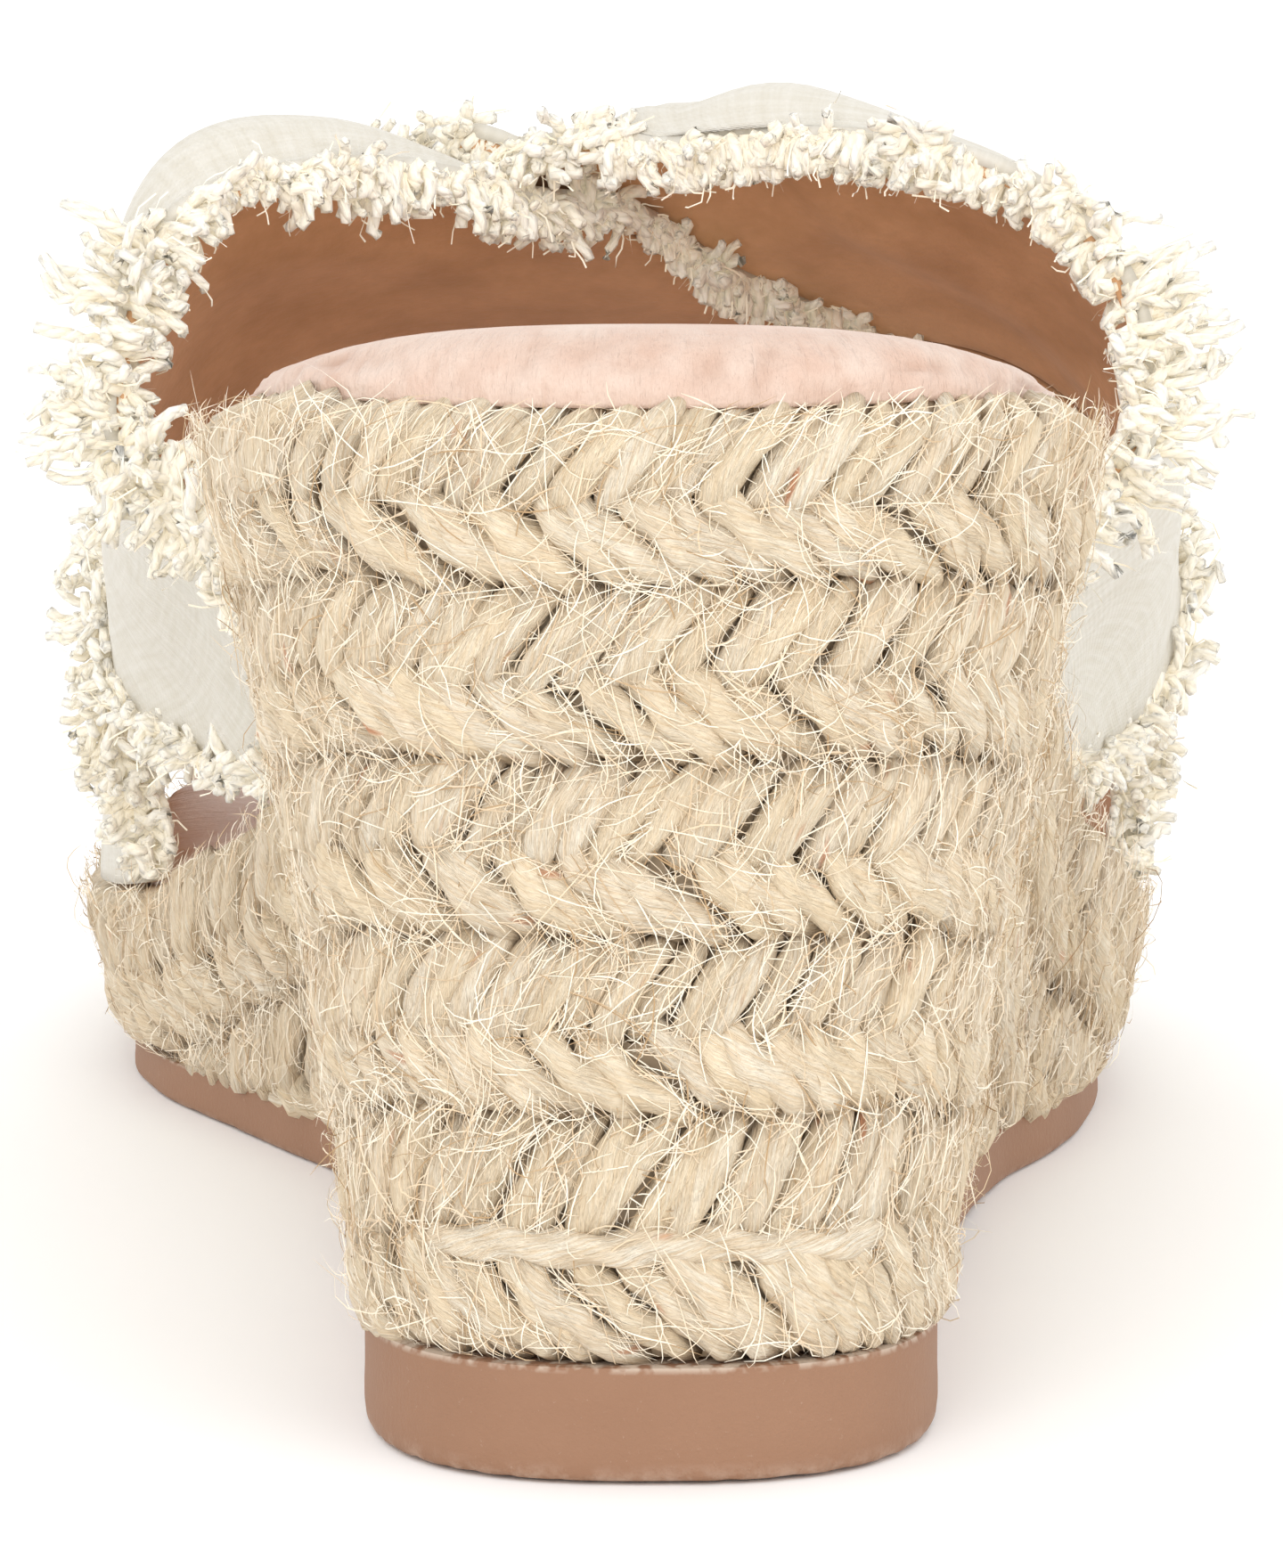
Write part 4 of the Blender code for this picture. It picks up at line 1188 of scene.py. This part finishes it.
def slab_faces(rows, wide):
    """The faces of a closed slab: its lower layer, its upper layer and the walls round both."""
    index = np.arange(rows * wide).reshape(rows, wide)
    bottom = np.stack([index[:-1, :-1], index[:-1, 1:], index[1:, 1:], index[1:, :-1]], -1).reshape(-1, 4)
    upper = bottom[:, ::-1] + rows * wide
    rim = np.concatenate([index[:-1, 0], index[-1, :-1], index[:0:-1, -1], index[0, :0:-1]])
    following = np.roll(rim, -1)
    walls = np.stack([rim, rim + rows * wide, following + rows * wide, following], -1)
    return np.concatenate([bottom, upper, walls])


def strap_slab(name, edges, lift, heights, material, edge_steps, inset=0.0, groove=0.0, steps=150, wave=0.0):
    """One layer of a strap between two heights off the lining's surface, its coordinates in centimetres."""
    low, high = heights
    shares = np.linspace(0, 1, steps + 1)[:, None]
    back, front = (edge(shares) * SOLE_LENGTH for edge in edges)
    back, front = back + inset, front - inset
    width = front - back
    cuts = np.array(edge_steps)
    inside = np.linspace(0, 1, 31)[1:-1]
    near, far = cuts[None, :], cuts[None, ::-1]
    last = cuts[-1]
    columns = np.concatenate([near + 0 * width, last + inside[None, :] * (width - 2 * last), width - far], 1)
    along = back + columns
    share = shares + 0 * along
    rise = lift(share, along)
    away = np.minimum(columns, width - columns)
    # The seam groove's profile: it digs the groove and masks its painted shade
    seam = np.exp(-((away - 2.6) / 0.32) ** 2) if groove else 0 * away
    spots = np.stack([share * USUAL_ARCH, along], -1)
    soft = wave * ripple(spots, 34.0, 3) * ease(away / 12) * ease(np.minimum(share, 1 - share) / 0.1)
    layers = []
    for layer, dig in ((low, groove), (high, 0.0)):
        point = strap_surface(share, along, rise + layer + dig * seam + (soft if layer == high else 0 * soft))
        foot = (top_height(along) + FOOT_GAP) * MM
        for end in (0, -1):
            point[end, :, 2] = foot[end]
        layers.append(point)
    rows, wide = share.shape
    points = np.concatenate([layers[0].reshape(-1, 3), layers[1].reshape(-1, 3)])
    quads = slab_faces(rows, wide)
    length = np.interp(along, STRAP_ALONGS, ARCH_LENGTHS) * share / 10
    flat = np.concatenate([np.stack([columns / 10, length], -1).reshape(-1, 2)] * 2)
    uv = flat[quads.ravel()]
    # The painted shade of the seam groove, on the lining's face only
    values = {"seam": np.concatenate([seam.ravel() * 0.9, 0 * seam.ravel()])}
    made = build_mesh(name, points, quads, NO_TRIS, material, uv, values)
    face_outwards(made)
    return made


def yarn_roots(edge, settings, rng):
    """Where the yarns start: share, level between the edge's faces and tuft of each, and how many tufts."""
    fine = np.linspace(FRINGE_START, 1 - FRINGE_START, 500)
    run = run_along(strap_surface(fine, edge(fine) * SOLE_LENGTH, 0.0) / MM)
    layers = settings.layers
    count = int(run[-1] / (settings.yarn_pitch / MM)) * layers
    where = (np.arange(count) + 0.5) / count * run[-1] + rng.normal(0, 0.35, count)
    where = np.clip(where, 0, run[-1])
    level = (np.arange(count) % layers + rng.uniform(0, 1, count)) / layers
    share = np.interp(where, run, fine)
    tufts = int(run[-1] / (settings.tuft_pitch / MM)) + 2
    tuft = (where + rng.normal(0, 0.9, count)) / (settings.tuft_pitch / MM)
    return share, level, np.clip(tuft.astype(int), 0, tufts - 1), tufts


def yarn_curls(level, flat, tuft, tufts, settings, rng):
    """How far each yarn's points go off the edge, up and sideways. flat is 1 where the strap lies level."""
    count = len(level)
    tuft_rise = rng.normal(0, 0.30, tufts)
    tuft_side = rng.normal(0, 0.45, tufts)
    tuft_length = rng.uniform(0.8, 1.15, tufts)
    tuft_curl = rng.normal(0, 0.7, tufts)
    t = np.linspace(0, 1, YARN_POINTS)[None, :]
    rise = -0.9 + 2.2 * level - flat * (0.10 + 1.25 * level) + tuft_rise[tuft] + rng.normal(0, 0.25, count)
    curl = tuft_curl[tuft] + rng.normal(0, 1.35, count) * (1 - 0.5 * flat)
    curl = curl + 1.9 * (level - 0.45) * (1 - flat) - 0.9 * flat
    sideways = tuft_side[tuft] + rng.normal(0, 0.35, count)
    bend = rng.normal(0, 1.9, count)
    wave = rng.uniform(0.4, 1.2, count)[:, None]
    wave = wave * np.sin(2 * np.pi * (1.1 * t + rng.uniform(0, 1, (count, 1))))
    reach = settings.yarn_length / MM * tuft_length[tuft] * rng.uniform(0.55, 1.10, count)
    thinned = (rng.uniform(0, 1, tufts) < 0.34)[tuft] * flat
    reach = reach * (1 - 0.15 * level * (1 - flat)) * (1 - 0.34 * flat) * (1 - 0.55 * thinned)
    step = reach[:, None] / (YARN_POINTS - 1)
    roll = 1.7 * (level * (1 - flat))[:, None] * t**2
    lift_angle = rise[:, None] + curl[:, None] * t + 0.5 * wave - roll
    side_angle = sideways[:, None] + bend[:, None] * t + wave
    go = np.cos(lift_angle) * np.cos(side_angle) * step
    up = np.sin(lift_angle) * step
    slide = np.cos(lift_angle) * np.sin(side_angle) * step
    return [np.cumsum(x, axis=1) - x[:, :1] for x in (go, up, slide)]


def yarn_bounds(share, along, base, flat, lift, other_edges, rng):
    """The lowest and the highest that yarns may stand off the lining's surface, clear of the other strap."""
    foot = top_height(along) + FOOT_GAP
    height = strap_surface(share, along, 0.0)[..., 2] / MM
    free = ease((height - foot - FRINGE_FREE_HEIGHT) / FRINGE_FREE_HEIGHT)
    floor = base - rng.uniform(1.2, 5.4, base.shape) * free + 0.2
    ceiling = np.full(share.shape, OPEN_HEIGHT)
    if lift is over_lift:
        covered = cover(other_edges, share, along, 1.0, 3.0)
        floor = np.maximum(floor, (STRAP_THICKNESS + 0.5) * covered)
    else:
        covered = cover(other_edges, share, along, 0.5, 2.0)
        gap = np.maximum(over_lift(share, along) - 0.6, 0.9)
        ceiling = OPEN_HEIGHT + (gap - OPEN_HEIGHT) * (covered > 0.3)
        floor = np.minimum(floor, ceiling - 0.1)
    ceiling = np.minimum(ceiling, base + STRAP_THICKNESS + 8.0 - 6.9 * flat[:, None])
    return np.minimum(floor, ceiling - 0.1), ceiling


def yarn_fringe(name, edges, which, lift, other_edges, settings, material, seed):
    """The frayed yarns along one edge of a strap: curled cotton yarns that clump into tufts."""
    rng = np.random.default_rng(seed)
    edge, toe_ward = edges[which], 1 if which else -1
    share, level, tuft, tufts = yarn_roots(edge, settings, rng)
    count = len(share)
    along = edge(share) * SOLE_LENGTH
    t = np.linspace(0, 1, YARN_POINTS)[None, :]
    flat = ease((strap_look(STRAP_NORMALS, share, along)[..., 2] - 0.42) / 0.40)
    go, up, slide = yarn_curls(level, flat, tuft, tufts, settings, rng)
    stand = strap_surface(share, along, 0.0)[..., 2] / MM
    puff = PUFF_LOW + (PUFF_HIGH - PUFF_LOW) * ease((stand - PUFF_START) / PUFF_REACH)
    up = np.minimum(up, 0) + np.maximum(up, 0) * puff[:, None]
    root = 0.35 + (STRAP_THICKNESS - 0.7) * level
    here_along = along[:, None] + toe_ward * (go - 0.9)
    here_share = np.clip(share[:, None] + slide / USUAL_ARCH, 0.0, 1.0)
    base = lift(share, along)[:, None]
    floor, ceiling = yarn_bounds(here_share, here_along, base, flat, lift, other_edges, rng)
    centres = strap_surface(here_share, here_along, np.clip(base + root[:, None] + up, floor, ceiling))
    least = (top_height(here_along) + 1.0) * MM
    centres[..., 2] = np.maximum(centres[..., 2], least)
    ahead = unit(np.gradient(centres, axis=1))
    ups = np.cross(ahead, unit(rng.normal(size=(count, 1, 3))))
    thick = settings.yarn_thickness / 2 * rng.uniform(0.8, 1.2, count)[:, None] * (1 - 0.15 * t**3)
    # Painted shade: full at each yarn's root, gone by its middle
    depth_shade = (1 - ease(t / 0.5)) * np.ones((count, 1))
    values = {"tint": rng.uniform(0, 1, (count, 1)) + 0 * t, "depth_shade": depth_shade}
    yarns = tube_mesh(name, centres, ups, thick, thick, YARN_SIDES, material, NO_TWIST, values, seed)
    astray = unit(rng.normal(size=(count, 1, 3))) * t[..., None] * rng.uniform(0.6, 2.2, (count, 1, 1)) * MM
    loose = centres + astray + ups * thick[..., None]
    loose[..., 2] = np.maximum(loose[..., 2], least)
    values = {"tint": rng.uniform(0, 1, (count, 1)) + 0 * t, "depth_shade": 0 * t + np.zeros((count, 1))}
    wide = 0 * thick + settings.fluff_width
    fluff = ribbon_mesh(name.replace("yarns", "fluff"), loose, ups, wide, material, values)
    return yarns, fluff


class PieceOperator(Operator):
    """Shared by the sandal's operators"""

    bl_options = {"REGISTER"}

    def execute(self, context):
        self.build(context.scene)
        return {"FINISHED"}


class SANDAL_OT_outsole(PieceOperator):
    """Makes the matte rubber outsole"""

    bl_idname = "sandal.outsole"
    bl_label = "Rubber outsole"

    def build(self, scene):
        material = rubber_material(scene.sandal_tones)
        stations, sides, _ = round_stations(OUTSOLE_STATIONS)
        # Columns: share of the wall's height, draw in
        levels = ((0.0, 2.6), (0.0, 1.9), (0.04, 0.3), (0.09, 0.05), (0.2, -0.05), (0.35, -0.05), (0.5, 0.0),
                  (0.65, 0.0), (0.8, 0.0), (0.93, 0.0), (0.985, 0.12), (1.0, 0.45), (1.0, 1.6))
        rings, wear, glue = [], [], []
        for share_up, draw_in in levels:
            along, across = tread_outline(stations, sides, draw_in - OUTSOLE_LIP)
            floor, top = outsole_floor(along), outsole_top(along)
            spots = np.stack([along, across], -1)
            uneven = 0.12 * ripple(spots, 5.0, 4) + 0.1 * ripple(spots, 1.7, 5)
            low = max(0.0, 1 - share_up / 0.12)
            height = floor + share_up * (top - floor) + low * np.maximum(uneven, 0.0) * (share_up > 0)
            rings.append(place(along, across, height))
            wear.append(np.full(len(along), max(0.0, 1 - share_up / 0.16) ** 0.8))
            glue.append(np.full(len(along), 0.7 * ease((share_up - 0.97) / 0.02)))
        values = {"wear": np.array(wear), "glue": np.array(glue)}
        made = ring_stack("outsole_rubber", np.array(rings), material, values)
        made.data.set_sharp_from_angle(angle=math.radians(50))
        dress(made, ("outsole",))


class SANDAL_OT_braid(PieceOperator):
    """Makes the jute braid row by row, its core and its level cord"""

    bl_idname = "sandal.braid"
    bl_label = "Jute braid"

    def build(self, scene):
        material = jute_material(scene.sandal_tones)
        dress(jute_core(material), ("wedge",))
        for row in range(UPPER_ROWS + 1):
            for upper in (True, False):
                dress(braid_half(row, upper, scene.sandal_braid, material))
        dress(core_cord(material))


class SANDAL_OT_hairs(PieceOperator):
    """Makes the loose fibres that stand off the braid"""

    bl_idname = "sandal.hairs"
    bl_label = "Loose jute fibres"

    def build(self, scene):
        settings, material = scene.sandal_braid, hair_material(scene.sandal_tones)
        dress(loose_hairs("jute_hairs_lying", settings.lying_count, True, settings, material, 17))
        dress(loose_hairs("jute_hairs_loose", settings.hair_count, False, settings, material, 7))


def crease_depth(step, flow):
    """How far the leather's puckers and folds sink in at one level of the pad."""
    spot = np.stack([flow, np.full(len(flow), 4.0 * step)], -1)
    pucker = ripple(spot * np.array([1.0, 0.35]), 5.5, 21)
    pucker = pucker + 0.6 * ripple(spot * np.array([1.0, 0.25]), 2.6, 22)
    fold = np.maximum(ripple(spot * np.array([0.35, 1.0]), 7.0, 23) - 0.9, 0)
    band = math.exp(-(((step - 1.6) / 1.5) ** 2))
    return (0.20 * pucker + 0.62 * fold) * band


def pad_ring(step, stations, sides, run, flow):
    """The points round one level of the pad, and how far its creases sink in there."""
    share_up = float(pad_up(step))
    inset = float(pad_inset(step)) - PAD_BULGE * (1 - ease(share_up / 0.8))
    along, across = top_outline(stations, sides, INSOLE_MARGIN + inset)
    back = ease(1 - along / HEEL_ROUND)
    along = along - PAD_OVERHANG * back * (1 - share_up)
    half = np.where(sides > 0, top_halves[0](along / SOLE_LENGTH), top_halves[1](along / SOLE_LENGTH))
    lateral = np.clip(np.abs(across) / (half - INSOLE_MARGIN), 0, 1)
    sink = crease_depth(step, flow)
    grow_along, grow_side = outward(run)
    along = along - grow_along * sink
    across = across - grow_side * sink
    crown = share_up * (INSOLE_PAD - PAD_SETTLE - PAD_FALL * lateral**2.85 * ease(share_up / 0.5))
    height = top_height(along) + CLEARANCE * (2 * share_up - 1) + crown
    height = height - 0.5 * sink * (share_up > 0.2)
    return place(along, across, height), sink


class SANDAL_OT_insole(PieceOperator):
    """Makes the padded leather insole with its creases"""

    bl_idname = "sandal.insole"
    bl_label = "Padded insole"

    def build(self, scene):
        material = leather_material(scene.sandal_tones)
        stations, sides, run = round_stations(INSOLE_STATIONS)
        rings, crease_shades, ups = [], [], []
        # Past the outer foot of the strap the run goes on from the toe, so its ends meet under the strap
        flow = np.where((sides < 0) & (stations > 0.6), run + EDGE_LENGTH, run)
        for step in np.linspace(0, 5, 26):
            ring, sink = pad_ring(step, stations, sides, run, flow)
            rings.append(ring)
            # How much painted shade each point takes, from how far its crease sinks in
            crease_shades.append(np.clip(sink * 1.6, 0, 1))
            ups.append(np.full(len(run), 2.4 * step))
        values = {"crease_shade": np.array(crease_shades), "up": np.array(ups), "run": np.array([flow] * len(rings))}
        made = ring_stack("insole_pad", np.array(rings), material, values)
        dress(made, ("insole",))


class SANDAL_OT_straps(PieceOperator):
    """Makes the canvas and the lining of the two crossed straps"""

    bl_idname = "sandal.straps"
    bl_label = "Crossed straps"

    def build(self, scene):
        canvas, lining = canvas_material(scene.sandal_tones), lining_material(scene.sandal_tones)
        plain_edge = (0.0, 0.5, 1.2, 2.4)
        seamed_edge = (0.0, 0.35, 1.1, 2.0, 2.3, 2.45, 2.6, 2.75, 2.9, 3.2, 4.2)
        outer_layer, inner_layer = (LINING_THICKNESS, STRAP_THICKNESS), (0.0, LINING_THICKNESS + 0.02)
        for name, *strap in (("under", under_edges, no_lift), ("over", over_edges, over_lift)):
            outside = strap_slab(f"strap_{name}_canvas", *strap, outer_layer, canvas, plain_edge, wave=0.28)
            inside = strap_slab(f"strap_{name}_lining", *strap, inner_layer, lining, seamed_edge, inset=0.25,
                                groove=0.45, steps=100)
            dress(outside, ("upper",))
            dress(inside)


class SANDAL_OT_fringe(PieceOperator):
    """Makes the frayed yarns on the four long edges of the straps"""

    bl_idname = "sandal.fringe"
    bl_label = "Frayed yarns"

    def build(self, scene):
        material = yarn_material(scene.sandal_tones)
        # Columns: name, the strap's edges, which of them, the strap's lift, the other strap's edges
        fringes = (
            ("under_back", under_edges, 0, no_lift, over_edges),
            ("under_front", under_edges, 1, no_lift, over_edges),
            ("over_back", over_edges, 0, over_lift, under_edges),
            ("over_front", over_edges, 1, over_lift, under_edges),
        )
        settings = scene.sandal_fringe
        for seed, (name, edges, which, lift, other) in enumerate(fringes, 40):
            yarns, fluff = yarn_fringe(f"yarns_{name}", edges, which, lift, other, settings, material, seed)
            dress(yarns, (f"fringe_{name}",))
            dress(fluff)


def make_floor(scene, half):
    corners = [(-half, -half, 0), (half, -half, 0), (half, half, 0), (-half, half, 0)]
    mesh = bpy.data.meshes.new("floor")
    mesh.from_pydata(corners, [], [(0, 1, 2, 3)])
    floor = bpy.data.objects.new("floor", mesh)
    scene.collection.objects.link(floor)
    material, _, shader = start_material("white_floor", 0.9, 0.1)
    shader.inputs["Base Color"].default_value = (0.99, 0.99, 0.99, 1.0)
    mesh.materials.append(material)


def make_lights(scene, stage):
    world = bpy.data.worlds.new("studio")
    world.use_nodes = True
    background = world.node_tree.nodes["Background"]
    background.inputs[0].default_value = (1.0, 1.0, 1.0, 1.0)
    background.inputs[1].default_value = stage.world_strength
    scene.world = world
    middle = Vector((0.0, 0.03, 0.05))
    # Columns: name, place, side of the light, power
    lights = (
        ("key", (0.40, 1.35, 0.72), 0.8, stage.key_power),
        ("fill", (-0.85, 1.05, 0.55), 1.0, stage.fill_power),
    )
    for name, spot, size, power in lights:
        lamp = bpy.data.lights.new(name, "AREA")
        lamp.shape = "SQUARE"
        lamp.size = size
        lamp.energy = power
        made = bpy.data.objects.new(name, lamp)
        made.location = spot
        made.rotation_euler = (middle - made.location).to_track_quat("-Z", "Y").to_euler()
        scene.collection.objects.link(made)


def make_camera(scene, stage):
    lens = bpy.data.cameras.new("camera")
    lens.sensor_fit = "VERTICAL"
    lens.sensor_height = SENSOR_HEIGHT
    lens.lens = LENS_LENGTH
    lens.shift_x = LENS_SHIFT
    lens.clip_start = 0.01
    camera = bpy.data.objects.new("camera", lens)
    camera.location = (-MIDDLE_SIDE * MM, MIDDLE_ALONG * MM + stage.camera_distance, stage.camera_height)
    camera.rotation_euler = (math.radians(90 - LOOK_DOWN), 0.0, math.radians(180))
    scene.collection.objects.link(camera)
    scene.camera = camera


class SANDAL_OT_stage(PieceOperator):
    """Makes the pale floor, the soft studio light and the camera at the photograph's angle"""

    bl_idname = "sandal.stage"
    bl_label = "Floor, lights and camera"

    def build(self, scene):
        stage = scene.sandal_stage
        make_floor(scene, stage.floor_size / 2)
        make_lights(scene, stage)
        make_camera(scene, stage)
        scene.view_settings.view_transform = "Standard"


class SANDAL_PT_pieces(Panel):
    """Lists the sandal's sizes, colours and pieces"""

    bl_idname = "SANDAL_PT_pieces"
    bl_label = "Espadrille wedge sandal"
    bl_space_type = "VIEW_3D"
    bl_region_type = "UI"
    bl_category = "Sandal"

    def draw(self, context):
        layout = self.layout
        for operator in OPERATORS:
            layout.operator(operator.bl_idname)
        for name, group in GROUPS.items():
            box = layout.box()
            box.label(text=group.__doc__)
            for key in group.__annotations__:
                box.prop(getattr(context.scene, name), key)


OPERATORS = (
    SANDAL_OT_stage,
    SANDAL_OT_outsole,
    SANDAL_OT_braid,
    SANDAL_OT_hairs,
    SANDAL_OT_insole,
    SANDAL_OT_straps,
    SANDAL_OT_fringe,
)
GROUPS = {
    "sandal_tones": SandalTones,
    "sandal_braid": SandalBraid,
    "sandal_fringe": SandalFringe,
    "sandal_stage": SandalStage,
}


def register():
    for kind in (*GROUPS.values(), *OPERATORS, SANDAL_PT_pieces):
        bpy.utils.register_class(kind)
    for name, group in GROUPS.items():
        setattr(bpy.types.Scene, name, PointerProperty(type=group))


def unregister():
    for name in GROUPS:
        delattr(bpy.types.Scene, name)
    for kind in (SANDAL_PT_pieces, *reversed(OPERATORS), *reversed(GROUPS.values())):
        bpy.utils.unregister_class(kind)


def main():
    register()
    bpy.ops.sandal.stage()
    bpy.ops.sandal.outsole()
    bpy.ops.sandal.braid()
    bpy.ops.sandal.hairs()
    bpy.ops.sandal.insole()
    bpy.ops.sandal.straps()
    bpy.ops.sandal.fringe()


if __name__ == "__main__":
    main()
